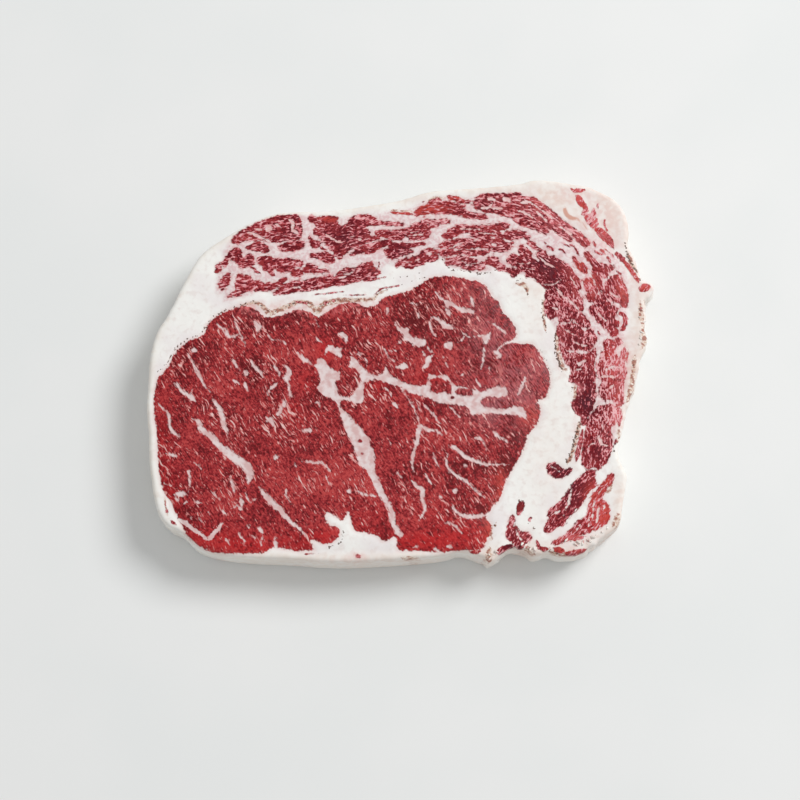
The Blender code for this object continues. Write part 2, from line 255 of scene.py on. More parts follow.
ISLANDS = [
    [
        (-22, 0.8), (-20, 1.4), (-17, 1), (-16, -0.4), (-15.3, -2), (-15, -3.8), (-15.8, -5.3),
        (-16.5, -6.8), (-18, -8.6), (-19.5, -9.6), (-21.5, -9.3), (-23, -8.5), (-23.5, -7),
        (-24, -5), (-23.8, -3.8), (-22.4, -3.4), (-22.2, -1.5),
    ],
    [
        (11.2, -3.5), (12, -2.8), (14, -2.6), (16, -3), (17.8, -4), (18.7, -5.2), (18.8, -7),
        (18.4, -8.4), (17.4, -8.3), (16.3, -7.6), (15, -8), (13.5, -8.2), (11.8, -7.8), (11, -7),
        (11.3, -5),
    ],
    [(20.5, -8), (21.5, -7), (23, -6.6), (25, -6.8), (27, -7), (26.8, -8), (26, -9.2), (22, -8.9)],
    [(30.6, -11), (31.6, -10.3), (33.6, -10.3), (34.6, -11), (34, -12.6), (31.6, -12.4)],
]

# Blobs of fat in the eye, by outline
FAT_BLOBS = [
    [
        (-2.5, 19.8), (-1.5, 18.5), (0, 16.8), (1.5, 16.3), (3.5, 16.4), (3.2, 15), (4, 13.8),
        (5.5, 12.8), (8, 12.5), (9.5, 12), (10, 11.2), (9.5, 10), (8, 9.2), (6, 9), (4.5, 10),
        (3.5, 11), (2, 11.4), (1, 11.7), (0.8, 13.5), (0, 14.5), (-1, 15.5), (-2, 17.5),
    ],
    [(-2.2, 1.7), (0, 2.5), (1, 3.3), (2.2, 2.6), (2.9, 1.9), (1.7, 0.5), (0, 0.6), (-1.5, 1)],
    [
        (8, 1.2), (9, 1), (10.3, 1), (10.8, 2.5), (11.5, 4), (12, 5.5), (13, 6.8), (11, 6),
        (9.5, 5.5), (9, 4), (8.8, 2.5),
    ],
    [
        (14, 20.5), (15, 19.8), (16.5, 19), (17.5, 18), (19.5, 17.8), (20, 16.5), (20.5, 16),
        (18.5, 15.8), (16, 15.8), (15.3, 17), (14.5, 18.5), (13, 19.5), (11.5, 20), (11.4, 20.8),
    ],
    [
        (16, 27), (18, 27), (19.5, 26), (21, 25), (22.5, 24.5), (24, 24), (26, 23.8), (27, 23.5),
        (28, 22), (27, 21.7), (25, 22.2), (23, 22), (21.5, 23), (20, 24), (18.5, 24.8), (17.5, 24),
        (18, 23.5), (19, 22.3), (18.5, 21), (17.3, 21.5), (16.8, 23), (16.5, 25),
    ],
    [(6.5, 22.8), (7.3, 20.8), (7.5, 19.9), (6.2, 19.9)],
    [(16.2, 10.7), (17.5, 11), (19.5, 10.9), (19.5, 9.5), (18.8, 8.3), (17, 8.3), (16, 9)],
    [
        (30.5, 13), (32, 14), (33, 14.5), (34, 15.5), (33.2, 12), (32.5, 10.5), (31.5, 10.2),
        (31, 11),
    ],
    [
        (-44, 2.5), (-42.5, 2.3), (-41, 1.3), (-40.4, 0), (-40.5, -1.5), (-41, -3), (-41.2, -4.5),
        (-41, -6), (-40.5, -7.5), (-39.8, -9.5), (-41.5, -9.3), (-41.7, -7), (-42, -5), (-43, -3.5),
        (-44, -2.5), (-43, -1.5), (-42.5, 0), (-43, 1),
    ],
    [
        (-43.5, -10.5), (-42, -12), (-42, -13), (-43.5, -14.5), (-44.5, -16.5), (-46, -17),
        (-45, -14.5), (-44, -12.5),
    ],
    [
        (-49.5, -17.5), (-47.2, -17.5), (-46.5, -19), (-46.5, -21), (-47.5, -21), (-48.5, -19.8),
        (-49.5, -19.5),
    ],
    [(-36.5, -22), (-33.5, -21.3), (-32.7, -22.5), (-33.5, -23.3), (-35.5, -23)],
    [
        (-27, 9.5), (-25.5, 10), (-24.5, 9.3), (-23, 8.8), (-21.5, 9), (-22, 7.5), (-21.5, 6),
        (-22.5, 5.3), (-24, 6), (-25.3, 7), (-26.3, 7.3), (-27, 7.8), (-28.2, 5.2), (-28.4, 6.4),
    ],
    [
        (-22, 14.8), (-20.5, 14), (-19.3, 13), (-19.5, 11.5), (-20, 10), (-20.7, 11), (-21.5, 12.5),
        (-24, 14),
    ],
    [(-55, 20), (-53.5, 19.5), (-52, 18), (-51.3, 16.8), (-53, 15), (-53.5, 13.5), (-54, 16)],
    [(-3.5, -12), (-2.2, -11.5), (-1, -12.8), (-0.8, -14), (-1.6, -14.2), (-2.5, -13.3)],
]

# Veins of fat in the eye, ending with painted highlights drawn as fat: widths along the line, then
# its points
EYE_VEINS = [
    ((1.5, 2.4, 2.6, 3.2, 3.5, 2.6), [
        (-77, -18), (-74.5, -19.5), (-73, -22.5), (-70, -24.5), (-67, -28), (-64, -30.5),
        (-60, -33.5), (-57, -35.5), (-55.5, -38.5), (-56, -42),
    ]),
    ((1.6, 2.5, 2.3, 1.6, 1.0), [
        (-52, -43.5), (-50, -46), (-48, -48.5), (-46, -50.5), (-44, -52), (-42, -55), (-39, -57.5),
        (-36, -60), (-34.5, -62),
    ]),
    ((1.2, 1.8, 2.2, 1.4), [
        (-69.5, -10), (-68, -13), (-66.5, -15), (-65.5, -18), (-65, -21), (-63.5, -24),
    ]),
    ((0.8, 1.6, 2.0), [(-85, -3.3), (-82.5, -5.5), (-80.5, -8), (-78, -9.5), (-76, -11.5)]),
    ((0.6, 1.2, 2.0), [
        (-90, -12), (-88, -14), (-85.7, -16.5), (-85.3, -19.5), (-84.5, -22), (-81.5, -25),
    ]),
    ((0.5, 1.5, 0.5), [(-79, 7), (-76, 1), (-74.8, -1), (-73, -5), (-70.5, -8)]),
    ((1.8, 0.5), [(-62.5, 4.5), (-59.5, 0)]),
    ((0.7,), [(-62, 20), (-60.5, 16), (-58.5, 11), (-57.5, 9)]),
    ((0.8, 1.5, 0.6), [(-69, 18), (-66, 16), (-64, 13.5), (-62, 13), (-60, 14)]),
    ((1.2,), [(-55.5, 4), (-54, 1.5), (-52, -0.5), (-51, -2.5)]),
    ((1.0,), [(-62, -3.5), (-59.5, -5)]),
    ((1.8, 0.8), [(-57.5, -5), (-56.8, -7.5)]),
    ((1.8, 1.0), [(-86, -31), (-82, -32)]),
    ((1.2, 0.6), [(-78, -37), (-77.5, -41), (-77.8, -45)]),
    ((1.6, 2.5, 1.2), [(-83, -46), (-80, -46), (-78, -46.5)]),
    ((0.5,), [(-87, -42), (-85, -43), (-83.5, -42.5)]),
    ((1.0, 0.6), [(-76, -34), (-72, -38)]),
    ((1.3, 0.6), [(-69.5, -45), (-66, -48.5)]),
    ((1.0,), [(-63, -39), (-62, -42), (-61, -46)]),
    ((1.2, 1.8, 0.8), [(-58.5, -47), (-58.5, -51), (-59, -53)]),
    ((0.8,), [(-58.5, -50), (-62, -51.5)]),
    ((1.0,), [(-76, -49), (-73, -49.5)]),
    ((1.2, 0.7), [(-39, -34.5), (-38, -37)]),
    ((0.8, 1.2, 0.7), [(-36, -34), (-32, -34.5), (-29, -34.5), (-27, -36), (-26, -38)]),
    ((0.6,), [(-28, -38), (-26, -43)]),
    ((0.8,), [(-42, -44), (-42, -47), (-40, -50)]),
    ((1.5, 0.8), [(-16, -45), (-13, -46.3), (-9, -47)]),
    ((0.6, 1.5, 1.5), [(-46, -62), (-45.8, -64), (-45.5, -66.5)]),
    ((2.5, 1.6, 1.0), [(7, -20), (6.5, -24), (5.5, -29), (4.5, -32), (4.5, -38)]),
    ((1.3, 2.0, 1.5, 0.8), [
        (4, -41), (6, -43), (8, -44.5), (8, -48), (9, -51), (8, -54), (6.5, -56),
    ]),
    ((1.5, 0.8), [(7, -20), (10, -22), (13, -22.5), (16, -25)]),
    ((1.4, 0.8), [(-1.5, -38), (1, -40.5)]),
    ((1.2, 0.6), [(-4, -26), (-3.5, -29)]),
    ((1.3, 0.6), [(9, -38.5), (11.5, -42.5)]),
    ((0.8,), [(12, -31), (14, -36.5)]),
    ((0.9,), [(14, -46.5), (15, -48)]),
    ((1.8, 1.4, 0.8), [
        (18, -28), (21, -29.5), (23.5, -32), (27, -33.5), (31, -35), (36, -35), (40, -35),
    ]),
    ((0.6, 1.4, 0.6), [
        (17.5, -31), (17, -34), (18, -37), (21, -39.5), (25, -42), (28, -45), (31, -47.5),
    ]),
    ((1.0, 1.8, 1.2), [(19, -49.5), (20, -52), (23, -54), (28, -54.5), (34, -53)]),
    ((1.3, 0.7), [(27, -25), (29.5, -25.5), (32, -30)]),
    ((1.8, 0.8), [(34, -22), (36, -24.5), (40, -27)]),
    ((1.2, 0.6), [(16, -56.5), (20, -58), (22.5, -61)]),
    ((1.0,), [(44, 12), (40, 11), (37, 9), (35, 6.5)]),
    ((1.4, 2.0), [(43.5, -9), (45, -6), (46.5, -2)]),
    ((0.8,), [(-47.5, 2), (-46, 0.8), (-45, -0.5), (-45, -2)]),
    ((1.2,), [(-49, -9), (-48.5, -7), (-47, -5.8), (-45.5, -4.8)]),
    ((1.1, 0.6), [(-31.5, 13), (-30.5, 11.5), (-29.5, 11)]),
    ((0.9, 0.7), [(-32, 20), (-31, 18), (-30, 16.5)]),
    ((0.6,), [(-49.5, 14), (-48, 12), (-46, 12), (-44, 11.5), (-42.5, 10)]),
    ((0.6,), [(-16, 7.5), (-15, 5.8), (-12.7, 4), (-12.8, 1.5)]),
    ((0.6,), [(-31.7, -11.8), (-30, -12), (-29.8, -14)]),
    ((0.5,), [(-6, 8.5), (-5, 6.5), (-4, 4.5), (-2, 3.5)]),
    ((0.4,), [(-4.5, 8), (-3, 7.5), (-1, 8)]),
    ((0.7, 1.0), [(8, 8), (8.5, 6.5), (9.3, 5.5)]),
    ((0.8,), [(9.8, 9.8), (10.5, 8.3), (12, 7)]),
    ((0.6, 1.0, 0.8), [(12, 20.5), (11, 19), (11, 17), (11.8, 15), (13, 13)]),
    ((0.6, 1.0), [(13, 30), (14, 28.5), (16, 27)]),
    ((0.6, 1.6, 1.1), [(26.2, 28.6), (26.7, 26.3), (27.4, 24)]),
    ((0.9,), [(4, 26), (6, 25.3), (6.8, 24)]),
    ((1.1,), [(-4.7, 23.8), (-4.7, 22.2)]),
    ((0.6,), [(22.5, 15), (24, 13.8), (26, 13), (30, 13.5), (31.5, 13.5)]),
    ((0.6, 0.9), [(32, 19), (35, 17.5), (38, 15.5), (40, 14)]),
    ((0.5,), [(24, 13.6), (23, 12), (21.5, 11)]),
    ((1.2, 0.7), [(31.2, 9), (31, 7), (30.7, 4), (30, 1)]),
    ((1.8, 1.4), [(34.5, 7.5), (36, 7), (37, 6), (35.5, 5)]),
    ((0.9,), [(33, 2.5), (33, 0)]),
    ((0.6,), [(28, -3), (29, -5), (30, -6)]),
    ((0.8,), [(16.5, 3.5), (17.5, 1.5)]),
    ((0.5,), [(-6, -6), (-4, -8), (-3.5, -10)]),
    ((0.6,), [(0, -6), (2, -9), (4, -12), (5.5, -15), (6.5, -18), (7, -20)]),
    ((0.5,), [(5, -10), (6.5, -13), (7.5, -15)]),
    ((1.2, 0.8), [(9, -13), (11, -15), (12.5, -16.5), (13.5, -18.5), (15, -20)]),
    ((0.5,), [(18, -13), (20, -15.5), (22, -17.5)]),
    ((0.8,), [(-77, -7), (-78, -9.2)]),
    ((0.6,), [(-78, -53), (-76, -56)]),
    ((0.5,), [(-74.2, -54.4), (-72.4, -57.2)]),
    ((0.7, 1.0), [(-65.6, -51.8), (-63.6, -54)]),
    ((0.8,), [(-57, -45.8), (-56.2, -48.4), (-55, -49.6)]),
    ((0.6,), [(-55.2, -49), (-53.4, -48.2), (-52, -47.6)]),
    ((1.0,), [(-56.2, -57.2), (-55, -59)]),
    ((1.5, 1.1), [(-51.6, -58.8), (-50.6, -60.6)]),
    ((1.0,), [(-54.8, -61.2), (-52.8, -62.8)]),
    ((0.9,), [(-50.6, -61.6), (-51.2, -65.6)]),
    ((0.7,), [(-59.6, -60.4), (-57.6, -63), (-56.4, -65.6)]),
    ((0.6,), [(-64, -62.6), (-62.4, -65)]),
    ((0.9,), [(-82.4, -47), (-81.2, -49.2)]),
    ((0.8,), [(-70.6, -52.8), (-69, -54)]),
    ((0.9,), [(-79.8, -49.8), (-78, -48.8)]),
    # Painted highlights: white glints on the lean's lower edge, drawn as fat
    ((0.8,), [(4.2, -66), (5.6, -65.4), (6.4, -65.8)]),
    ((1.4,), [(12.6, -66.2), (14, -67.2)]),
    ((1.0,), [(16.8, -65.2), (19, -65.8)]),
]

# Round spots of fat in the eye: a place and a width
FAT_SPOTS = [
    (-76.5, 8, 2.0), (-57.3, -0.8, 2.0), (-46, -32.5, 2.0), (-19, -45, 1.6), (24, -35.5, 1.2),
    (20, -45, 2.0), (-0.3, 10.8, 1.4), (15.8, 5, 1.0), (22.9, -1.5, 0.8), (-15.5, 6.8, 1.3),
]

# The cap's bundles of lean, with fat between them: along its top from the left, then down its leg
BUNDLES = [
    [
        (-63.5, 50), (-61.5, 52.3), (-58.5, 54.4), (-54.5, 56.6), (-50, 58.4), (-46.8, 59.5),
        (-42.5, 59.9), (-38.5, 59.8), (-37.6, 57), (-37.6, 51.3), (-42, 50.3), (-45.5, 49.6),
        (-49, 49.8), (-53, 50.5), (-55.5, 50.5), (-59, 50.2), (-60.3, 49), (-62, 49.2),
    ],
    [
        (-57.4, 47.6), (-55.5, 48.4), (-54.5, 49.8), (-52, 49.3), (-49.2, 46.4), (-50.5, 45.5),
        (-54, 46.2), (-56.5, 46.7),
    ],
    [
        (-45.5, 48), (-44, 48.5), (-42.5, 49.5), (-40.5, 49.5), (-37, 50), (-36.4, 48.5),
        (-37, 47.3), (-40, 46.4), (-43, 46.1), (-45.3, 46.8),
    ],
    [
        (-64, 45.5), (-62, 47), (-60, 46.5), (-59.8, 44.2), (-58.5, 43.3), (-57.2, 44.8),
        (-55.8, 44.6), (-55, 42), (-55, 40.8), (-57, 40), (-60, 39.9), (-61, 41.3), (-62.5, 42.5),
        (-64.2, 41.9), (-65.8, 40.3), (-66.6, 41.6), (-65.5, 43),
    ],
    [
        (-53.7, 42.5), (-52, 43.8), (-50.5, 44), (-49, 43.7), (-47, 42.7), (-44, 42.9), (-41, 42.9),
        (-38.5, 42.4), (-36.9, 41.5), (-37.2, 40.2), (-39.5, 39.8), (-41, 38.6), (-44.5, 38),
        (-46.3, 39), (-47.5, 39.6), (-48.8, 38), (-51, 39), (-51.6, 40.6), (-52.8, 41),
    ],
    [
        (-40.8, 37), (-39.5, 38.5), (-38, 38.8), (-36.5, 38.2), (-36.6, 37), (-38.5, 36.3),
        (-40, 36.5),
    ],
    [
        (-64, 37.2), (-64.2, 35), (-65, 32.5), (-66.3, 31.5), (-68, 32.5), (-67.5, 34),
        (-66.3, 35.5), (-65, 37),
    ],
    [(-69, 38.4), (-68.6, 40.8), (-67.4, 40.6), (-67.5, 38.6)],
    [
        (-60.7, 36.3), (-59.5, 36.7), (-58.5, 35.5), (-57.5, 36.5), (-56.3, 36), (-55.5, 34.2),
        (-54, 34.5), (-52.7, 34), (-51, 33), (-49.5, 33.5), (-47.5, 33.3), (-45.5, 34.3),
        (-43.5, 35.5), (-42.5, 35.3), (-44, 34), (-46, 32.6), (-48.5, 31.3), (-51, 31), (-55, 31),
        (-57, 31.2), (-59.5, 30), (-60.5, 29), (-62.5, 29), (-64.5, 28.3), (-62.5, 30),
        (-61.5, 30.5), (-61.3, 33),
    ],
    [
        (-47.3, 29.8), (-45.5, 31), (-43.5, 32.5), (-41.5, 33.8), (-39, 34.2), (-36.5, 34.2),
        (-34, 34.8), (-32, 35.5), (-29, 35.8), (-27.5, 36), (-26, 36.8), (-25.3, 35.8), (-24, 36.3),
        (-22.5, 38), (-21, 39), (-19.5, 39.5), (-18, 39.1), (-20, 38), (-22, 37.3), (-21, 36.5),
        (-18, 37), (-16, 39.5), (-14.5, 40.5), (-11.5, 41.5), (-10.3, 40.8), (-10, 39), (-8, 38.5),
        (-8, 37.7), (-9, 36.5), (-10, 35), (-14, 35), (-18.5, 34), (-22.5, 33), (-24.5, 33.3),
        (-26.5, 32.8), (-30, 31.8), (-36.5, 31), (-41, 30.2), (-45.5, 29.6),
    ],
    [
        (-33.5, 60), (-31.5, 59), (-29.5, 59.3), (-25.5, 59.3), (-23.8, 59), (-23.8, 57),
        (-22.5, 55.5), (-20.5, 56), (-19.5, 57.5), (-18.3, 59), (-16.5, 59.8), (-14, 60),
        (-11.5, 59.8), (-9.5, 58.5), (-7.5, 57.5), (-4.5, 57), (0.3, 56.6), (0.3, 55.8), (-5.5, 56),
        (-8, 56.3), (-12.5, 55.9), (-13.3, 54.8), (-12, 53.5), (-11.3, 51.5), (-8, 51.5),
        (-9, 50.6), (-13, 49.4), (-16, 48.2), (-18.5, 47.4), (-20.3, 45.5), (-21.5, 44.5),
        (-23, 43), (-25, 45.8), (-26.5, 47), (-28, 49), (-30.3, 51.5), (-31.5, 56), (-34, 57.7),
    ],
    [
        (-9, 53.6), (-5, 53.9), (-1, 53.8), (2, 54.6), (4.5, 55.4), (5.5, 56.5), (7.3, 56.8),
        (8.3, 57.6), (9.6, 58.4), (10.3, 58.1), (10.6, 57.7), (14, 57.9), (17.5, 57.8),
        (18.3, 57.2), (16.8, 56.7), (13, 56.8), (9.5, 56.2), (7, 55.3), (9, 55.2), (11.5, 56),
        (14, 56.1), (13, 55.3), (11, 54.8), (10.8, 53), (10, 51.3), (7, 50.4), (4, 50.2), (3, 51.4),
        (1.3, 51.8), (0.8, 50.8), (-1, 50.5), (-4, 51.2), (-8.5, 52),
    ],
    [
        (-18.7, 44.5), (-17, 46), (-15, 47.5), (-12, 48.5), (-9, 49.2), (-6, 50), (-4, 50),
        (-5, 48.5), (-7, 47.3), (-9, 46.5), (-11, 45.5), (-13, 45.3), (-14.5, 46), (-16, 45.2),
        (-17.5, 44.8),
    ],
    [
        (-5.8, 46.3), (-4.2, 47), (-3.8, 49), (-1, 48.8), (2, 48.6), (5, 48.7), (8.7, 49),
        (8.6, 48.5), (5, 47.9), (3.6, 47.4), (2.6, 46.4), (4.3, 46), (4.4, 45.4), (2.4, 44.8),
        (0, 44), (-2, 43.3), (-4.2, 43.1), (-4.9, 44.5),
    ],
    [
        (-33.7, 44.3), (-31, 44.9), (-28, 45.4), (-26, 44.5), (-25.3, 43.8), (-25, 42),
        (-26.5, 41.3), (-28.5, 42), (-30, 43), (-31.5, 43.5),
    ],
    [
        (-36.3, 39), (-35, 39.8), (-34.5, 41), (-33, 40.5), (-31, 40), (-31, 39), (-28, 38.8),
        (-26.5, 38.3), (-29, 38), (-31.5, 38), (-33.5, 37.7), (-35.5, 37.7),
    ],
    [
        (-34.3, 51.3), (-33, 50), (-31, 49.5), (-30.3, 48.5), (-31.5, 47.5), (-33.3, 47.6),
        (-33.6, 49.3),
    ],
    [(-32.3, 53), (-31.8, 55), (-30.3, 54.8), (-30.5, 52.8)],
    [
        (-1.5, 40.2), (-1, 41.2), (0.5, 42.3), (3, 43), (5.5, 43.7), (8, 44.8), (9.5, 44.7),
        (10.5, 43.8), (13, 44.7), (13.8, 44), (13.5, 42.9), (11, 42.3), (9.5, 42.3), (8.5, 41.3),
        (6.5, 40.5), (5, 40.3), (4.5, 39.6), (2.5, 39.6), (1.5, 40.2), (0, 40.6),
    ],
    [
        (8, 45.6), (9.5, 46.1), (10.5, 46.7), (12, 46.6), (14, 46), (16, 46.1), (18, 46.7),
        (19.5, 46.8), (19.8, 46), (18, 45.5), (15, 45.4), (12.5, 45.6), (10.5, 45.8),
    ],
    [
        (15.5, 44.5), (16.5, 45), (18.5, 45.2), (20.5, 45.5), (22, 46), (24.5, 46), (26, 45.8),
        (28.5, 45.7), (28.8, 44.3), (26, 44.2), (24, 44.8), (22, 44.8), (19.5, 44.8), (17, 44.2),
    ],
    [
        (17, 43), (20, 43.2), (22, 43.8), (24.5, 43.5), (25.5, 43.2), (24, 42.5), (21, 42.6),
        (18.5, 42.3),
    ],
    [(23.5, 42.3), (25.5, 42.7), (28, 42.7), (28.7, 42), (27.5, 41.4), (25.5, 41.4)],
    [(17, 41.5), (19, 41.7), (21.5, 41.6), (24, 41), (22.5, 40.2), (20, 40.9), (17.3, 40.9)],
    [
        (23, 39.7), (26, 39.8), (27.5, 40.5), (30, 40.3), (31.8, 39.8), (30, 39), (28, 38.8),
        (26, 39.2),
    ],
    [(29, 45.3), (31, 46), (33, 45.6), (32, 44.8), (30, 44.6)],
    [
        (29.7, 41.2), (31, 41.8), (32.7, 42), (32.6, 43.3), (34, 43.6), (36, 43.2), (36.8, 42),
        (37, 40.8), (38.3, 40.3), (40, 38.8), (38.5, 38.5), (36.5, 39.3), (34.5, 40.5), (32, 41),
        (31, 40.9),
    ],
    [
        (16.3, 51), (15.9, 52), (17.5, 53), (18.5, 54.2), (20.5, 54.8), (21.5, 55.7), (24, 55.5),
        (30, 55.4), (34, 55.6), (36, 56.2), (38.3, 56.5), (40, 55.8), (40.5, 55.2), (38.5, 54.2),
        (37, 53.9), (37.5, 52.5), (38.5, 51.5), (37.5, 51.1), (35.5, 51.8), (32, 51.3), (29, 51.3),
        (26.7, 51.6), (26, 53), (24, 53.2), (22, 52.7), (21, 52), (19.3, 51.4), (18.5, 50.6),
        (17, 50.5),
    ],
    [
        (14, 47.4), (15, 48.5), (17, 49.5), (20, 50), (24, 50.3), (27, 50.2), (25, 49.6),
        (22, 49.3), (20.5, 48.7), (19, 47.8), (16.5, 47.4),
    ],
    [
        (20.8, 47.3), (22.5, 47.9), (25, 48.4), (26.5, 49.2), (29, 49.6), (31, 50.6), (33.5, 50.8),
        (34, 50.2), (32.5, 49.5), (33.5, 48.5), (34.5, 47.2), (33, 46.8), (30.5, 47.3),
        (28.5, 47.5), (27.5, 47.1), (25, 47.2), (23, 47),
    ],
    [
        (34.2, 49.3), (36, 50.7), (38, 50.6), (38.7, 49), (40, 48.8), (42.5, 49.2), (41.2, 47.6),
        (39.7, 46), (38, 45.5), (36.5, 46), (34.3, 45.9), (34.8, 46.8), (36, 47.8), (35.8, 48.6),
    ],
    [
        (38.8, 51.4), (39, 52.5), (40.3, 53.4), (42, 53.7), (44, 53.5), (46.6, 53), (47, 52),
        (48.6, 51.2), (47.8, 50.6), (46, 51.5), (44, 50.7), (42, 50.3), (40.3, 50.5),
    ],
    [
        (5.5, 60.2), (6, 61.8), (7.5, 62.9), (9, 63.3), (10.5, 64.3), (12, 65.8), (14, 66.2),
        (15.5, 65.2), (17, 64.9), (18.5, 64.7), (20, 64.4), (22, 63.8), (24, 63.2), (23, 62.4),
        (24, 61.6), (27, 60.6), (29, 59.9), (32, 59.4), (32, 58.6), (28, 58.6), (24.5, 59.2),
        (21, 60.1), (18, 60.5), (14, 60.5), (10, 60.4), (7, 60),
    ],
    [
        (17.9, 66.6), (18.6, 67.4), (21, 67.2), (22.5, 66.4), (24.5, 65.6), (26, 65.4), (25, 64.7),
        (22, 64.9), (20.5, 65.6), (19.5, 66),
    ],
    [
        (28, 65.2), (30, 67.6), (34, 68), (38, 67.9), (42, 68.4), (45, 67.9), (46.5, 66.8),
        (49, 66.6), (51, 66.3), (52.3, 65), (54.5, 63.6), (57, 61.3), (60, 58.8), (63, 56.2),
        (66, 53.8), (69, 51.3), (70.6, 49.6), (70.5, 48.2), (69, 48), (67.5, 49.2), (65.8, 51),
        (63.8, 53), (62, 54.6), (60, 56.3), (57.5, 57.5), (59, 55.5), (61.5, 53.2), (64.3, 50.5),
        (63.3, 50), (60, 52), (57.7, 54), (56.3, 54.6), (55.2, 53), (53.3, 53.3), (50.5, 54.3),
        (47.5, 55.3), (44.8, 56.3), (43, 57.6), (42.3, 58.7), (40, 59.4), (37.5, 59.9), (35, 60.8),
        (32, 60.8), (30.5, 61.6), (28, 62.3), (30.3, 63), (28, 63.6),
    ],
    [
        (47.7, 49.1), (48.6, 49.5), (50.2, 48.9), (51.2, 47.5), (52.4, 46.5), (51, 46.4),
        (49.2, 47.5),
    ],
    [
        (40, 41.8), (41, 43.6), (42.3, 44.6), (43.7, 43.6), (44.6, 43.5), (44.9, 45), (44.6, 46.6),
        (45.4, 47.9), (46.6, 47.2), (47.6, 46.4), (48.9, 44.9), (48.6, 43.6), (50, 42.6),
        (51.2, 41.6), (52.3, 41.9), (51.4, 44), (52, 45.6), (53, 46.2), (54.6, 45), (55.2, 43.6),
        (57, 43.7), (60, 42.2), (61.2, 41), (62.8, 40.2), (64.2, 38.4), (65.6, 35.8), (67.2, 33.4),
        (66.8, 31.2), (65.2, 31), (66.6, 29.4), (67.6, 27), (67.8, 24), (67, 22.6), (68.4, 20.6),
        (69.9, 18.4), (69.4, 16.9), (67.4, 17.5), (65.4, 19.5), (64, 20.6), (62.4, 19), (61, 19.5),
        (60, 18.6), (59.2, 19.6), (58.9, 21), (57, 20.7), (55.5, 20.4), (54.3, 22.4), (53.9, 25),
        (54.3, 27), (54.6, 29.4), (55, 31), (54, 32.3), (52, 34.2), (50.2, 35.2), (48.7, 37),
        (47.4, 36), (46.5, 38.4), (44.5, 37.9), (42.2, 36.2), (41.3, 37.4), (40, 38.8),
        (41.3, 39.3), (44, 38.9), (46, 39.4), (44, 40), (42.7, 40.9),
    ],
    [
        (64.9, 43.8), (66.2, 42), (68, 40.8), (69.4, 39.6), (69.6, 37.6), (68.2, 38), (66.8, 39.2),
        (65.6, 40.6),
    ],
    [
        (69.3, 45.6), (70.6, 45), (72, 43.2), (73.5, 41.8), (75.5, 41), (77.5, 40.5), (79.6, 40),
        (79, 38.6), (77, 38), (77.6, 36.2), (76.6, 35.8), (75.2, 37), (75.2, 34.6), (74.8, 31),
        (73.6, 32.6), (73, 35.2), (71.8, 38), (72.2, 40), (71, 41.8), (69.5, 43.8),
    ],
    [
        (69, 35.2), (70.5, 35.6), (71.8, 34.6), (72.4, 32.6), (73.2, 31.4), (73.8, 30.4), (72, 30),
        (69.6, 31.2), (68.9, 33),
    ],
    [
        (75.8, 31.8), (76.5, 33.6), (78, 34.9), (79.5, 36.2), (81.8, 36.4), (82.7, 34), (84, 31.6),
        (84.9, 29), (84.6, 26), (84.1, 24.4), (83, 24.9), (81.5, 26.5), (79.5, 26.9), (77.2, 27.5),
        (75.9, 28.6), (76.3, 30),
    ],
    [
        (69.4, 28.8), (70.6, 29.6), (72, 29.3), (74.5, 29), (76, 27.6), (78, 25.6), (79.4, 24.2),
        (80.8, 23.9), (80.3, 22), (79.3, 20.4), (80.3, 18.9), (81.3, 18.6), (80.9, 17.2),
        (79.8, 16.6), (80.8, 15), (79.2, 13.4), (78, 14.4), (77.6, 16.2), (76.4, 16.2), (75, 18),
        (73.6, 19.2), (72.4, 21), (70.8, 22.8), (71.2, 24.8), (72.6, 24.6), (74, 24.4), (72.5, 26),
        (70.4, 27.2),
    ],
    [
        (59.2, 17.6), (61, 17), (63.5, 17.9), (66, 17), (67.7, 15.2), (66.6, 13.8), (68, 14.4),
        (70, 15.2), (71, 15.6), (71.7, 14), (72.7, 12.4), (72.2, 10.8), (70.6, 8.8), (68.4, 8.2),
        (66, 9), (64.5, 8.3), (62, 8.6), (60.2, 8.2), (59.4, 10), (59.6, 12), (59, 14), (58.4, 16),
    ],
    [
        (60, 7.8), (61.6, 7.2), (63.2, 6.8), (65.4, 6.6), (66.9, 5.4), (67.8, 6), (69.8, 6),
        (70.9, 7), (71.7, 8), (72.3, 7.2), (71.9, 4), (71.3, 2), (71.6, 0), (71.8, -2.5), (71, -4),
        (68, -4.6), (65.8, -4.6), (64.8, -3.2), (63.4, -3.8), (62.8, -2.6), (63.6, -0.8), (63.9, 1),
        (62.4, 3), (61, 5),
    ],
    [
        (66.4, -5.6), (68, -4.9), (69.9, -5), (71.6, -4.8), (71.8, -8), (71.2, -12), (70.2, -15),
        (68.9, -17.4), (68.8, -19.2), (67.6, -20), (67.2, -18.6), (68.2, -16.9), (66, -16.1),
        (64.7, -14.6), (64, -12), (64.9, -11), (65.8, -9.6), (66, -7.4),
    ],
    [
        (75.9, 10.6), (77.4, 11.9), (78.8, 11.4), (79.6, 10.4), (80.8, 12.4), (81.8, 12.4),
        (82, 10.8), (80.4, 9.6), (79.4, 7.4), (80.2, 5.6), (81, 4.2), (80.6, 2), (78.6, 3),
        (77.2, 1.8), (75.8, 0.8), (76.4, -0.6), (78.2, 0.6), (79, -1.2), (80, 1), (81.2, 0),
        (82, -2.4), (82.5, -5), (82.4, -8), (82.2, -12), (80.8, -12.6), (79.6, -11.6), (78, -10.4),
        (76, -10.4), (74.2, -9.2), (73.9, -7.4), (74.6, -5.2), (75.2, -3.4), (74.1, -2), (73.7, 0),
        (73.8, 2.4), (74.4, 4.2), (75.5, 5.4), (75.2, 7), (76.3, 8.4),
    ],
    [
        (76.2, -13.2), (77.4, -12.8), (79, -13.6), (80.8, -14.6), (81.2, -17.6), (79.4, -19),
        (77.8, -20.6), (77.6, -23), (77.7, -27), (77.6, -29.4), (76.6, -31.2), (76, -34),
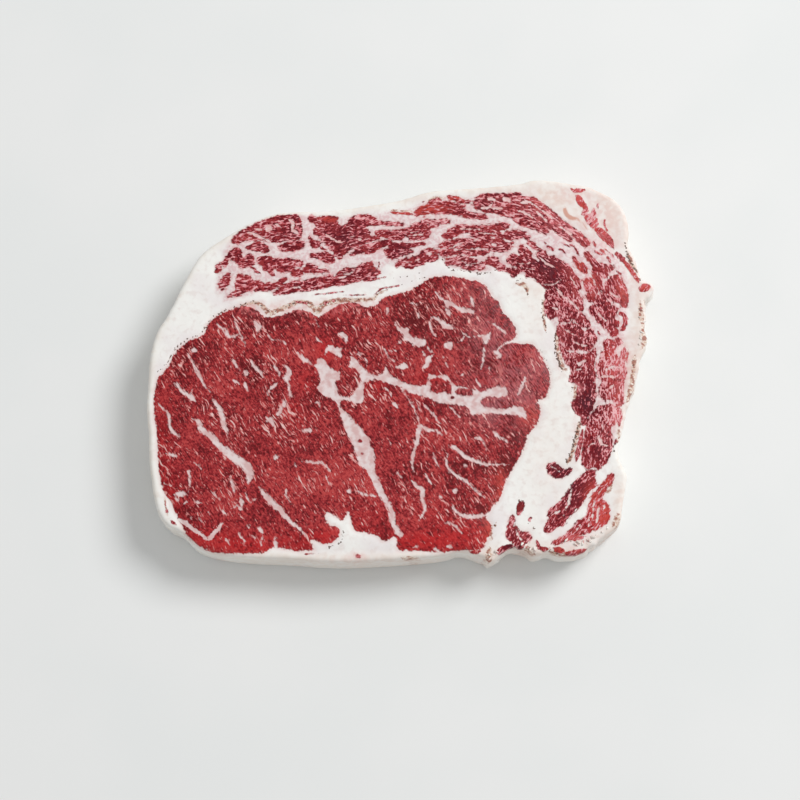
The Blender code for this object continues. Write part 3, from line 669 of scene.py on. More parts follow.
        (74, -35.2), (73, -36.6), (71.6, -35.4), (69.4, -36.4), (67.6, -35.2), (67, -32.6),
        (67.6, -29.6), (68, -26), (68.8, -22.4), (69.6, -19), (70.2, -17.2), (71.4, -16),
        (72.6, -17.6), (73.6, -18.9), (75.2, -18.4), (76.2, -16.6), (75.8, -14.8),
    ],
    [(73.2, -13.6), (74.8, -13.5), (75.4, -15.2), (74.8, -17.4), (73.4, -17.8), (72.9, -15.8)],
]

# Thin bits of lean in the cap and the fat: widths along the line, then its points
RED_STREAKS = [
    ((1.2,), [(-57, 40.3), (-55, 39.3), (-54, 38), (-52.4, 37.5)]),
    ((1.5,), [(-49.5, 38.5), (-48.3, 37.2), (-47.4, 36.8)]),
    ((1.0,), [(-30.3, 48), (-29, 46.8), (-27, 46.5)]),
    ((1.3, 1.4, 1.0), [(-4, 61.2), (0, 60.7), (5.5, 60.2)]),
    ((1.0,), [(26.5, 65.2), (29, 65)]),
    ((0.8,), [(26.3, 63.8), (29.7, 63.5)]),
    ((0.6,), [(8, 64.9), (9.6, 65.6)]),
    ((0.8,), [(54, 49.3), (54.4, 48.8)]),
    ((1.3,), [(55.2, 47.6), (56.5, 47), (57, 46.2)]),
    ((1.0,), [(58.8, 46.8), (60, 46.4), (61, 46), (62, 44.6)]),
    ((0.8,), [(60.3, 49.4), (62, 48.2), (63.7, 47.3)]),
    ((1.0,), [(63.5, 48.6), (65.3, 47.2), (66.5, 45), (66.9, 44.2)]),
    ((1.9,), [(80.9, 22.4), (82.3, 22), (83.7, 20.6), (83.8, 18.6), (83.1, 16.6), (81.6, 15.2)]),
    ((0.9,), [(73.4, 15.6), (74.3, 13.4)]),
    ((1.2, 2.0, 2.2, 1.8), [(67.4, -21.6), (66.5, -26), (65.5, -30), (64.8, -34)]),
    ((1.4, 1.8, 1.6), [
        (80.8, 44.9), (82.2, 43.8), (84.6, 41), (87, 37.6), (88.6, 35), (89.3, 33.6),
    ]),
    ((2.8, 3.6, 2.0), [(90.4, 31.6), (91.6, 32), (92.6, 32.2)]),
    ((1.0, 1.6), [(79.8, -24.8), (79.4, -26.4), (78.6, -28)]),
    ((2.4, 1.8, 2.6), [(64.2, 70.2), (66, 69.4), (69.6, 69.8)]),
    ((1.8, 3.0, 2.6), [(66.6, 67.2), (67.4, 65.6), (68.2, 64.4)]),
    ((1.8, 2.4, 2.0), [(69.2, 63.8), (69.7, 62), (68.8, 60.4)]),
    ((2.2, 2.8, 3.6), [(69.6, 60), (71, 58), (72.4, 56.6)]),
    ((1.6, 2.6, 1.8), [(72.7, 62), (72.4, 59.8), (71, 58)]),
    ((1.4, 1.0), [(73.4, 59), (74.2, 56)]),
    ((4.2, 3.6, 3.4, 3.0), [(73, 55.4), (75.4, 52.9), (78, 50.4), (80, 47)]),
    ((1.8, 2.4), [(81.1, 45), (83.2, 42.8)]),
    ((1.1,), [(72.4, 50), (72.8, 48.6), (73.3, 47.2)]),
    ((1.2,), [(72.6, 46.2), (74, 45.2), (75.6, 44.6)]),
    ((1.2,), [(74.4, 47), (76, 45.6), (76.8, 44.4)]),
    ((0.6,), [(76.6, 46.8), (78.4, 45.4), (80, 43.4)]),
    ((1.2,), [(77, 44.2), (78.2, 42.6), (78.7, 41.2)]),
    ((0.8,), [(80.6, 38.4), (83, 36.6)]),
    ((1.8, 2.6, 2.4, 1.6), [(83.6, 9.6), (82.6, 6), (82.2, 2.4), (83, -0.4), (82.4, -4.4)]),
    ((1.0,), [(84.8, 8.4), (84, 4.6), (84.4, 2.6)]),
    ((1.4, 2.2, 1.4), [(80.8, -13), (81.1, -16.8), (80.6, -21)]),
    ((0.7,), [(74.8, 65.2), (74.1, 63.8), (74.6, 62)]),
    ((0.8,), [(76.8, 58.4), (76.6, 56.2), (77.9, 53.4)]),
    ((0.9,), [(-38.8, 26.5), (-37.4, 26.4)]),
    ((0.9,), [(-36.3, 26.2), (-35.2, 25.9)]),
    ((0.9,), [(-28.3, 25.9), (-27.3, 26.3)]),
    ((0.9,), [(-25.8, 26.9), (-24, 26.8)]),
    ((2.8, 2.8, 1.6), [(44.4, -49.9), (43.8, -51.4), (43.5, -53.4)]),
    ((1.2, 1.6, 1.8), [(25, -67.2), (27.5, -67.4), (29.5, -67)]),
    ((1.6, 2.6, 2.2), [(55.4, -65.8), (57.6, -66.6), (60.4, -67.4)]),
    ((2.2, 3.0, 2.6, 1.4), [(60, -67.6), (62.2, -68.2), (65, -67.8), (68.6, -66.2)]),
    ((1.5, 2.0), [(50, -62.8), (50.6, -65.4), (52.6, -66.4), (54.4, -66)]),
    ((0.8,), [(55, -64.6), (56.6, -63.6), (57.8, -62.6), (59.3, -62.2)]),
    ((1.4, 2.0, 1.4), [(61, -62.6), (64.5, -62.4), (68, -61.8)]),
    ((1.6, 2.4, 2.8), [(40.8, -65.2), (38.6, -65.8), (36.4, -67.2)]),
    ((1.2,), [(-85.7, -52.2), (-85.4, -52.8)]),
    ((1.2,), [(-84.4, -55.8), (-82, -57.6)]),
    ((0.6,), [(-36, -68.3), (-30, -68)]),
    ((0.5, 0.8, 0.5), [(-33, 29.2), (-26, 30), (-20, 30.6)]), ((0.6,), [(-22, 28.9), (-12, 29.4)]),
    ((0.8, 0.6), [(-10, 29), (-7, 31.5), (-3, 32.3), (0, 32.7)]),
    ((0.7,), [(-9, 35.2), (-5, 36.2)]),
    ((0.7,), [(-8, 42.5), (-8, 39.3)]),
    ((1.6,), [(-15.7, -69), (-15.2, -69)]),
    ((0.7,), [(-86.6, -48.6), (-86.2, -51)]),
    ((1.4,), [(-15.2, -26.3), (-14.8, -26.3)]),
    ((0.8,), [(-14.2, -31), (-13.8, -31)]),
    ((1.3,), [(19.2, -10), (19.5, -10)]),
    ((1.3,), [(47.3, -55.6), (47.8, -55)]),
]

# Pale lines in the bundles and in the smaller muscles: widths along the line, then its points
CAP_SEAMS = [
    ((1.3,), [(-42, 58.4), (-40.3, 56.8), (-40.7, 54.2), (-38.3, 52.9)]),
    ((2.0,), [(-49.9, 54.6), (-49.1, 55)]),
    ((1.0, 1.2, 0.9), [(-57.3, 53.4), (-54.5, 52.4), (-51.5, 50.9), (-48.5, 49.4)]),
    ((0.8,), [(-47, 56.5), (-44.5, 55)]),
    ((0.7,), [(-55, 54.5), (-52, 54.2)]),
    ((1.5,), [(-63.7, 41.7), (-62.7, 41.5)]),
    ((0.8,), [(-41, 32), (-37, 32)]),
    ((0.8,), [(-24, 35.5), (-20, 36.3)]),
    ((1.2,), [(-12, 55.6), (-9, 54.9), (0, 55)]),
    ((1.2,), [(-15.3, 50.6), (-14.8, 50.5)]),
    ((0.8,), [(-28, 52.5), (-25, 50.3), (-22, 49.3)]),
    ((0.6,), [(-20, 51.5), (-16.5, 51.6)]),
    ((0.5,), [(1, 53.2), (4, 53), (7, 53.5)]),
    ((0.6,), [(3, 51.8), (6, 52), (9, 52.4)]),
    ((0.6,), [(1.5, 41.5), (5, 42.2), (8, 43)]),
    ((0.5,), [(22, 54.4), (26, 54.3), (31, 54)]),
    ((0.6,), [(29.5, 52.8), (33, 52.6), (36, 52.4)]),
    ((1.6,), [(39.2, 66), (40.8, 65.6)]),
    ((1.2,), [(45.5, 64.6), (47.5, 64.4)]),
    ((1.0, 0.8, 0.8), [(46.5, 66), (50, 63.9), (54, 61), (57.5, 58.2)]),
    ((0.9,), [(50.8, 61.5), (53.5, 58.8), (55.5, 57)]),
    ((1.2,), [(62.6, 53.6), (64, 52.7)]),
    ((1.2,), [(33, 66.2), (35.3, 65.8)]),
    ((1.0,), [(34.5, 62.4), (36.5, 62.1), (38.5, 62.3)]),
    ((1.0,), [(30.2, 62.6), (33, 62.5), (34.6, 64.5)]),
    ((0.9,), [(44, 61.5), (47, 60.4), (49.6, 58.6)]),
    ((0.5,), [(43.5, 41.2), (47, 41), (49, 41.7)]),
    ((0.6,), [(47, 39.3), (50, 38.9)]),
    ((0.8,), [(52.3, 43.4), (54.5, 41.2), (57.7, 39.6)]),
    ((0.5,), [(53.5, 33.3), (57, 33), (60.5, 35.3)]),
    ((0.9,), [(58.2, 31.8), (60.5, 28.6), (63, 26.8), (65.4, 24.6), (67, 22)]),
    ((1.2,), [(57, 24.3), (58.4, 23.6)]),
    ((0.6,), [(63.5, 36.5), (65, 33.5), (66.2, 31.8)]),
    ((0.6,), [(60.8, 16.2), (63.2, 14.6), (65.8, 13.2)]),
    ((0.7,), [(64, 11.5), (67, 10), (69.5, 9.5)]),
    ((1.4,), [(66.4, 2.7), (68.2, 3.9)]),
    ((0.7,), [(64.5, 0.4), (67, 0.8)]),
    ((0.9,), [(74.5, -2.2), (77, -1.9), (79.5, -2.4)]),
    ((0.8,), [(77.6, -7), (79, -5)]),
    ((0.8, 1.4, 0.8), [(74.8, -27.8), (73.5, -25.8), (73, -24)]),
    ((0.7,), [(69, -29), (70.2, -27.6), (71.8, -27.2)]),
    ((0.7,), [(73.4, -27.4), (76.6, -28)]),
    ((0.7,), [(74.2, -19.5), (74.8, -22)]),
    ((0.8,), [(78.2, 30), (80, 28.6), (82, 28)]),
    ((0.6,), [(73, 23), (75.5, 20), (77.5, 18.8)]),
    ((0.5, 0.6), [(54.5, -54), (57, -53), (60.2, -51.7)]),
    ((0.6, 1.0, 0.5), [(60.4, -51.9), (61.6, -49.8), (62.3, -47), (62.8, -44.5), (63.6, -43)]),
    ((0.3,), [(58.5, -55), (60.2, -53.2), (61.5, -51.5)]),
    ((0.3,), [(60.8, -56), (63.5, -53.2), (65.5, -51)]),
    ((0.3,), [(55.5, -35.6), (57.3, -36.6), (58.6, -37.8)]),
    ((0.6,), [(42.6, -59), (43.2, -61.5), (45, -63.6)]),
    ((1.8, 1.6, 1.2), [
        (-81.2, -55.4), (-78, -57.4), (-75.4, -59.6), (-72.4, -61.6), (-70.3, -63.9),
    ]),
    ((1.7, 1.5, 1.0), [(-70.4, -63.4), (-68.6, -61.2), (-67, -59.4), (-66, -57.6), (-64.5, -56.8)]),
    ((0.5,), [(74.8, -43.2), (72.4, -46.8)]),
    ((0.6,), [(71.2, -48.6), (70.7, -52), (70.4, -56)]),
    ((0.9,), [(72.8, -50), (72.4, -53.5), (71.8, -57)]),
    ((0.6,), [(74.8, -49.8), (74.5, -52.6)]),
    ((0.5,), [(63.8, -59.8), (66.2, -57.2)]),
    ((0.4,), [(68.8, -58.4), (69.4, -55)]),
]

# A peach-coloured sinew at the upper right: widths along the line, then its points
SINEW = ((1.3, 1.7, 1.7, 0.8, 0.5, 0.4), [
    (61.8, 63.4), (61.9, 61.4), (62.9, 59.6), (64.6, 58.7), (66.2, 58.5), (67.8, 57.4), (70.4, 54),
])

# The brown skin between the muscles, as lines
SKIN_LINES = [
    [
        (-90, 0), (-88.5, 1), (-86.4, 3.6), (-85, 6.6), (-83.2, 9.4), (-79.6, 12.1), (-76.4, 13.4),
        (-74, 14.8), (-72.6, 17), (-70, 20.6), (-66, 23), (-60, 25.2), (-55, 26.5), (-52, 25.5),
        (-49, 22.5), (-46, 23.5), (-42, 25), (-38, 26.8), (-34, 26), (-31, 23), (-30, 24.5),
        (-28, 26), (-24, 27), (-20, 27.5), (-14, 27.5), (-10, 28), (-8, 30), (-5, 31),
    ],
    [
        (15.3, 43.6), (16.6, 41.5), (17.8, 39.7), (20, 38.7), (25, 38.2), (30, 37.3), (33, 37.7),
        (37, 39.2),
    ],
    [(53.4, 29), (52.9, 25), (52.7, 22), (53.6, 19), (54.3, 14.6)],
    [(-21, -60), (-21, -62), (-22, -64), (-25, -65.3), (-26.5, -66)],
    [(35.2, -56), (34.9, -57.5), (34, -58.7)],
    [(42.3, -49.4), (43.3, -48.7), (44.5, -48.2), (45.3, -48.5)],
    [(40, -64.8), (42.4, -65.6), (44.6, -66)],
    [(53, -66), (56, -67), (58.2, -68.4)],
    [(49, -57.4), (49.5, -60.2)],
    [(46.6, -57), (46.9, -59)],
    [(43, 34.6), (44.6, 35), (45, 33.6), (44, 32.6), (42.9, 33.2)],
    [(46.4, 34.4), (47.2, 32), (46.8, 30.4), (48, 29)],
    [(62, -35.2), (60.9, -34.2), (61.6, -32.6), (62.8, -32.4)],
]
BOLD_SKIN_LINES = [
    [(58, 15.5), (57.6, 12), (57.7, 8), (58.3, 5), (59.3, 2), (60.2, 0)],
    [(63.4, -2.2), (63.2, -3.4)],
    [(63.8, -5.4), (63.5, -7.6)],
    [(64.4, -10.8), (64.1, -13), (65, -15), (66.4, -16.2)],
    [(66.2, -19), (65.2, -22), (64.4, -25), (63.8, -28), (63, -30.6), (62, -33), (61.2, -35.2)],
    [(84.2, 49.6), (84.7, 47), (85.3, 43.6), (86.6, 41), (88.4, 37.8), (89.6, 34.4)],
    [(78.6, -28), (79.3, -31.4)],
]
FAINT_SKIN_LINES = [
    [(74.9, 67), (75, 65.6), (74.1, 64), (74.5, 62.4)],
    [(-10, 35), (0, 36), (10, 38)],
    [(-8, 31), (0, 33), (10, 36)],
    [(86, 8), (86.5, 0)],
    [(44.5, 10.6), (49, 10.6), (52.5, 7), (55.5, 0), (55.6, -6), (54, -10)],
]

# Tan skin and torn tissue, as bands: widths along the line, then its points
TAN_BANDS = [
    ((0.8, 2.2, 2.0, 2.4, 1.8, 1.0), [
        (-60, 25.2), (-55, 26.3), (-52, 25.2), (-49, 22.3), (-46, 23.2), (-42, 24.8), (-38, 26.6),
        (-34, 25.8), (-31, 22.8), (-30, 24.3), (-28, 25.9), (-24, 26.8), (-20, 27.3), (-14, 27.2),
        (-10, 27.8), (-8, 29.8), (-5, 31),
    ]),
    ((1.0,), [(35.2, -56), (34.8, -58.2)]),
    ((1.4,), [(33.4, -57), (33, -60), (33.2, -63.6)]),
    ((1.2, 2.2, 1.6), [(0, -69.4), (4, -70), (8.4, -70.4)]),
    ((0.8,), [(-86.6, -47), (-86.3, -50.6), (-85.2, -54.4)]),
    ((1.8, 1.6, 1.4), [
        (66.4, -18.8), (65.6, -22), (64.8, -26), (63.8, -29.5), (62.6, -32.5), (61.4, -35),
    ]),
    ((1.6,), [(64.8, -5), (64.9, -8), (64.9, -11), (65.6, -14)]),
    ((1.8,), [(58.7, 15.5), (58.4, 12), (58.6, 8), (59.4, 4), (60.3, 1.2), (62, 0.8)]),
    ((1.4, 2.0, 1.2), [(85, 46), (86.6, 41.5), (88.8, 37.4)]),
    ((1.2,), [(53.7, 28), (53.4, 24), (53.5, 20), (54, 15.5)]),
    ((1.2, 2.2, 1.6, 2.6, 1.4), [(89.6, 27), (89.7, 21), (90.6, 16), (90.8, 12), (89.6, 8.5)]),
    ((2.4, 1.8, 2.4, 1.6), [(87.2, 6.5), (86.6, 2), (86, -3), (85.4, -7), (83.8, -12)]),
    ((2.4, 1.2), [(43.4, 33.4), (46.6, 32.8), (47.8, 29.4)]),
    ((2.6, 2.0), [(78.8, -57.6), (79.8, -54)]),
    ((1.6, 2.6, 2.0), [(54, -67.2), (58.5, -68.4), (64, -68.4), (68, -67)]),
    ((2.0, 3.0), [(32.6, -66.5), (32, -70.6)]),
    ((3.0, 2.0), [(46.6, -66.6), (48.6, -68.4)]),
    ((2.6, 1.2), [(36.6, -67.4), (39.5, -65.6), (42.5, -66.2)]),
    ((1.2,), [(80.8, -21.5), (80.6, -24), (80, -27)]),
    ((1.2, 1.0), [(10.5, 65.6), (13, 66.8), (15.5, 66.4), (18, 67.4)]),
    ((1.0,), [(-4, 62), (0, 61.6), (5, 61.2)]),
    ((1.5,), [(91.4, 26.7), (91.6, 26.5)]),
    ((1.2, 1.4), [(76.6, -41), (77.4, -43.5), (75.6, -46.2)]),
]

# The line that the cap's fibres follow, from its left end round to its foot
CAP_COURSE = [
    (-75, 41), (-62, 42), (-45, 45), (-25, 47), (-5, 50), (15, 53), (32, 54), (46, 52), (57, 47),
    (65, 40), (70, 30), (73, 18), (74, 4), (74, -10), (73.5, -24), (72, -40),
]

# Which way the fibres of the eye and of the small strips run, in degrees from +X
EYE_GRAIN_ANGLE = -57.0
STRIP_GRAIN_ANGLE = 53.0

# Soft areas: a place, a reach in x and y, and a strength
LOBULE_AREAS = [
    (22, 14, 26, 24, 1.0), (44, -2, 14, 16, 1.0), (8, 26, 18, 12, 0.6), (40, -30, 10, 14, 0.5),
]
# Painted sheen: the pale pinkish glare on the wet lean at the right of the eye, laid into its
# colour
HAZE_AREAS = [
    (42, 0, 15, 17, 1.0), (33, 16, 8, 8, 0.7), (36, -14, 12, 7, 0.8), (30, 30, 10, 7, 0.4),
]
BRIGHT_AREAS = [
    (-12, -57, 8, 6, 0.4), (3, -64, 7, 3, 0.6), (14, -61, 9, 5, 0.5), (27, -60, 6, 6, 0.5),
    (13, -53, 6, 4, 0.3), (-28, -61.5, 6, 3, 0.6), (-84, -48, 3, 7, 0.7),
    (-56, -65.5, 14, 2.4, 0.6), (-72, -62, 14, 4, 0.6), (-88, -32, 3.5, 22, 0.5),
    (-40, -63.5, 20, 3.5, 0.45), (-28, 8, 3, 4, 1.0), (-10, -6.5, 5, 4, 0.6),
    (15, -63.5, 16, 3.5, 0.5), (72, -52, 6, 12, 1.0), (-35, -3, 4, 5, 0.5), (10, -3, 6, 3, 0.5),
    (-40, -16, 4, 4, 0.6), (82.5, 19, 2.5, 5, 1.0), (74, -56, 5, 6, 0.6), (73, 57, 7, 8, 1.4),
    (67, 68, 5, 4, 1.4), (86, 38, 4, 6, 1.0), (79, 2, 4.5, 13, 0.8), (92, 32, 3, 3, 1.0),
]
DUSK_AREAS = [
    (53, 40, 7, 4, 1.2), (58, 35, 4, 4, 0.9), (68.5, -10, 4, 7.5, 1.5), (-20, 51, 7, 4, 0.9),
    (0, 46, 4, 3, 0.9), (64, -45, 7, 8, 0.9), (59, -37, 5, 4, 0.9), (42, -61, 3, 4, 0.6),
    (72, -31, 5, 3, 0.7), (43.9, -50.9, 3, 4, 1.1), (39.6, -65.6, 2, 1.4, 1.2), (66, 12, 4, 4, 0.5),
    (43, 52, 4, 2, 0.6),
]
AMBER_AREAS = [
    (11, 62.5, 7, 2.5, 0.9), (0, 61, 6, 1.5, 1.0), (20.5, 66.4, 4, 1.2, 1.0), (67.5, 41, 3, 4, 0.8),
    (71, 33, 2.5, 4, 0.8), (83, 30, 2.5, 5, 0.7), (87, 37, 4, 5, 1.0), (92, 32, 2.5, 2.5, 1.0),
    (75, -54, 4, 6, 1.0), (76, -42, 3, 4, 0.9), (70, -47, 2.5, 5, 0.8), (60, -62.5, 8, 2.5, 0.8),
    (60, -66.8, 9, 1.5, 0.8), (77, 4, 3, 6, 0.5), (80, -9, 3, 4, 0.6), (80.5, -17, 2, 4, 0.9),
    (67.5, 67, 5, 6, 0.9), (44, -51, 2, 3, 0.3), (33, -60, 2.5, 6, 0.9), (-58, 51.5, 6, 2, 0.4),
    (-27, 58.5, 4, 1.2, 0.8), (84, 4, 3, 8, 1.0), (76, 50, 5, 6, 0.8), (37, -43, 2.5, 7, 0.7),
    (48, -17, 4, 4, 0.7), (52, 65, 3, 2, 0.6),
]
PINK_AREAS = [
    (-56, 24.6, 5, 2.2, 1.5), (-42, 24, 7, 2.6, 1.5), (-28, 24.6, 7, 2.6, 1.5),
    (-14, 26.2, 7, 1.8, 1.2), (84, -1, 3.5, 12, 0.6), (59.5, 8, 2, 9, 0.8),
    (65.5, -25, 2.4, 9, 0.7), (66, -6.4, 1.6, 2.2, 1.3), (73, 58, 5, 9, 0.8), (87, 38, 3, 8, 0.9),
    (-16, -69, 3, 1.6, 1.2), (92.5, 32, 3, 3, 0.9), (65, 68, 7, 3, 0.8), (81, 56, 5, 9, 0.35),
    (78, 47, 5, 3, 0.6), (66, 52, 8, 5, 0.4), (80, -17, 2.5, 5, 1.0), (64, -62, 6, 2, 0.9),
    (72, -52, 2.5, 7, 0.7), (64, -67, 5, 2, 0.5), (50, 62, 7, 4, 0.4), (60, 57, 9, 3, 0.5),
    (35, 65, 7, 3, 0.3), (52, 37, 4, 2, 0.4), (71, 33, 3, 4, 0.5), (78, 0, 4, 9, 0.3),
    (83, 4, 2.6, 8, 1.0), (81, -17, 2, 4.5, 0.6), (46, -61, 3, 3, 0.4), (22, 43, 7, 3, 0.35),
    (82, 27, 3, 4, 0.3),
]
# Pale brownish tissue, and at (54, -30) the same tint laid on as painted shade, darkening the fat
# at the right of the eye
BEIGE_AREAS = [
    (57, 67.5, 9, 4.5, 0.9), (80, 57, 6, 10, 0.9), (76, 66, 5, 4, 0.7), (89, 20, 3, 16, 0.8),
    (86, 0, 3.5, 14, 0.8), (78, -61, 6, 5, 0.8), (80.5, -48, 2.5, 9, 0.8), (62, -66, 14, 3, 0.7),
    (47, -67, 5, 3, 1.0), (32, -68, 4, 4, 0.9), (-15, -70.5, 32, 2.4, 0.7), (67, 60, 4, 6, 0.6),
    (40, 70, 14, 2, 0.6), (10, 66, 14, 1.5, 0.5), (61, 64, 4, 3, 0.4), (50, 31.5, 6, 3, 0.5),
    (65.5, -10, 2, 7, 0.6), (54, -30, 9, 26, 0.3), (50, 22, 5, 12, 0.25),
]

# Painted shade: softly lit parts of the eye that are painted a darker red, and a part that is paler
DEEP_AREAS = [
    (24, 18, 22, 18, 1.0), (-10, 22, 22, 12, 1.1), (38, -32, 12, 18, 1.1), (46, -4, 10, 12, 0.6),
    (-34, -50, 34, 16, -0.9),
]
SOFT_LAYERS = {
    "haze": HAZE_AREAS, "bright": BRIGHT_AREAS, "dusk": DUSK_AREAS, "amber": AMBER_AREAS,
    "pink": PINK_AREAS, "beige": BEIGE_AREAS, "leg": [(70, -4, 16, 34, 1.4)], "deep": DEEP_AREAS,
}

# Places where the side was trimmed and is ragged: a place and a reach along the side
RAGGED_SPOTS = [
    ((33, -68), 9.0), ((46, -66), 9.0), ((72, -63), 12.0), ((90.5, 22), 16.0), ((84, -8), 14.0),
]

# Paths of the torn shreds of fat along the trimmed rim, how far below the top they hang, and
# the shreds' own sizes
SHRED_PATHS = [
    [(32, -66.8), (33.5, -68.4), (35.4, -67.6)], [(44.6, -65), (47, -66.6), (50.6, -66.6)],
    [(60.4, -63.6), (64.5, -64.4), (68.6, -63.4), (72.2, -61), (76, -58.8)],
    [(90.8, 32.6), (91.8, 32.4), (92.2, 30.8)], [(89.6, 24), (89.9, 17), (89, 9)],
]
SHRED_DROP = 1.3
SHRED_SPACING = 0.85
SHRED_LENGTH = 2.2
SHRED_WIDTH = 0.9
SHRED_THICKNESS = 0.6
SHRED_SCATTER = 0.7
SHRED_SEED = 5

# What the material reads at each point, besides the grain
MATERIAL_LAYERS = (
    "lean", "vein", "seam", "red", "skin", "tan", "sinew", "in_cap", "web", "lobule", "outer",
    *SOFT_LAYERS,
)

# The soft areas that tint the lean or mark its fat
LEAN_AREAS = ("lobule", "haze", "bright", "dusk", "amber", "pink", "leg", "deep")

# How far ahead round the side each corner of its two kinds of triangle stands
SIDE_CORNERS = ((0, 1, 1), (0, 1, 0))


def paint(red, green, blue):
    """A colour given as the eye reads it, from 0 to 255, as Blender's linear one."""
    shares = [channel / 255 for channel in (red, green, blue)]
    return (*[s / 12.92 if s <= 0.04045 else ((s + 0.055) / 1.055) ** 2.4 for s in shares], 1.0)


# Colours of the lean
LEAN_DARK = paint(98, 8, 16)
LEAN_MIDDLE = paint(150, 34, 41)
LEAN_LIGHT = paint(188, 66, 65)
LEAN_BRIGHT = paint(194, 34, 36)
LEAN_CRIMSON = paint(106, 5, 25)
LEAN_DUSK = paint(78, 8, 28)
LEAN_HAZE = paint(186, 112, 118)
# The pale pink of the painted sheen on the wet lean
LEAN_AMBER = paint(204, 74, 62)
LEAN_PINK = paint(218, 116, 118)

# Colours of the fat and of the skins between the muscles
FLECK_PINK = paint(198, 90, 88)
FLECK_ROSE = paint(216, 142, 138)
FLECK_PALE = paint(230, 196, 191)
CAP_PINK = paint(186, 72, 86)
CAP_ROSE = paint(208, 108, 115)
CAP_PALE = paint(232, 178, 180)
VEIN_PALE = paint(231, 217, 216)
VEIN_PINK = paint(215, 180, 178)
WEB_PALE = paint(235, 221, 220)
WEB_PINK = paint(224, 190, 192)
FAT_WHITE = paint(247, 246, 242)
FAT_LILAC = paint(240, 234, 233)
FAT_SHADE = paint(230, 218, 214)
FAT_CREAM = paint(243, 236, 222)
FAT_BLUSH = paint(228, 182, 178)
# A pale brownish tint for tissue, also laid on as painted shade
FAT_BEIGE = paint(232, 213, 203)
SKIN_BROWN = paint(92, 62, 50)
TORN_BROWN = paint(162, 96, 80)
SKIN_TAN = paint(208, 174, 148)
SINEW_PEACH = paint(212, 154, 134)

# The floor
FLOOR_SIZE = 3.0
FLOOR_PALE = paint(239, 240, 239)
FLOOR_COOL = paint(236, 238, 237)

# The light, in metres and watts
SKY_STRENGTH = 0.5
SOFTBOX_SIZE = 1.3
SOFTBOX_POWER = 42.0
SOFTBOX_PLACE = (1.45, 1.0, 1.9)

# The camera, in millimetres and degrees
VIEW_TARGET = (-0.535, -11.81, 22.0)
VIEW_TILT = 11.0
VIEW_DISTANCE = 900.0
VIEW_WIDTH = 18.68


def smooth_closed(points, step):
    """Points along a smooth closed curve through the given points, about a step apart."""
    knots = np.asarray(points, float)
    t = np.linspace(0, 1, SPAN_POINTS, endpoint=False)[:, None]
    pieces = []
    for a, b, c, d in zip(*[np.roll(knots, shift, 0) for shift in (1, 0, -1, -2)]):
        pieces.append(hermite(t, b, c, (c - a) / 2, (d - b) / 2))
    fine = np.concatenate(pieces)
    ring = np.vstack([fine, fine[:1]])
    along = path_lengths(ring)
    places = np.linspace(0, along[-1], round(along[-1] / step), endpoint=False)
    return np.column_stack([np.interp(places, along, ring[:, k]) for k in (0, 1)])


def smooth_open(points, per_span=4):
    """A smooth open line through the given points."""
    knots = np.asarray(points, float)
    padded = np.vstack([2 * knots[0] - knots[1], knots, 2 * knots[-1] - knots[-2]])
    t = np.linspace(0, 1, per_span, endpoint=False)[:, None]
    spans = zip(padded, padded[1:], padded[2:], padded[3:])
    pieces = [hermite(t, b, c, (c - a) / 2, (d - b) / 2) for a, b, c, d in spans]
    return np.vstack([*pieces, knots[-1:]])


def hermite(t, b, c, tangent_b, tangent_c):
    """The cubic from b to c with the given tangents."""
    return (
        (2 * t**3 - 3 * t**2 + 1) * b
        + (t**3 - 2 * t**2 + t) * tangent_b
        + (3 * t**2 - 2 * t**3) * c
        + (t**3 - t**2) * tangent_c
    )


def path_lengths(line):
    """How far along a line each of its points lies."""
    return np.concatenate([[0], np.cumsum(np.linalg.norm(np.diff(line, axis=0), axis=1))])


def outward_normals(loop):
    """Unit normals of a clockwise loop, pointing away from what it encloses."""
    along = np.roll(loop, -1, 0) - np.roll(loop, 1, 0)
    normals = np.column_stack([-along[:, 1], along[:, 0]])
    return normals / np.linalg.norm(normals, axis=1)[:, None]


def is_inside(places, loop):
    """Whether each place lies inside a closed loop, by counting the edges to its right."""
    crossings = np.zeros(len(places), int)
    for (ax, ay), (bx, by) in zip(loop, np.roll(loop, -1, 0)):
        if ay != by:
            spans = (ay > places[:, 1]) != (by > places[:, 1])
            meets = ax + (places[:, 1] - ay) * (bx - ax) / (by - ay)
            crossings += spans & (places[:, 0] < meets)
    return crossings % 2 == 1


def tube_depth(places, line, radii, reach):
    """How deep each place lies in a stroke of varying radius: negative outside, at least -reach."""
    depth = np.full(len(places), -reach)
    for start in range(0, len(line) - 1, STRETCH):
        stretch, widths = line[start:start + STRETCH + 1], radii[start:start + STRETCH + 1]
        margin = reach + widths.max()
        near = (places > stretch.min(0) - margin) & (places < stretch.max(0) + margin)
        near = np.flatnonzero(near.all(1))
        close, found = places[near], depth[near]
        for a, b, radius_a, radius_b in zip(stretch, stretch[1:], widths, widths[1:]):
            run = b - a
            share = np.clip((close - a) @ run / max(run @ run, 1e-9), 0, 1)
            off = close - a - share[:, None] * run
            gap = np.sqrt(off[:, 0] ** 2 + off[:, 1] ** 2)
            found = np.maximum(found, radius_a + (radius_b - radius_a) * share - gap)
        depth[near] = found
    return depth


def stroke_depth(places, strokes):
    """How deep each place lies in any of the strokes."""
    depth = np.full(len(places), -STROKE_REACH)
    for widths, points in strokes:
        line = smooth_open(points)
        along = path_lengths(line)
        share = along / along[-1]
        stations = np.linspace(0, 1, len(widths)) if len(widths) > 1 else [0]
        run = np.minimum(along, along[-1] - along)
        point = ease(*BLUNTNESS, run / max(widths)) if along[-1] > 2 * max(widths) else 1.0
        radii = np.interp(share, stations, widths) / 2 * point
        depth = np.maximum(depth, tube_depth(places, line, radii, STROKE_REACH))
    return depth


def edge_distance(places, loop, reach=REACH):
    """How far each place is from a closed loop, up to the reach."""
    return -tube_depth(places, np.vstack([loop, loop[:1]]), np.zeros(len(loop) + 1), reach)


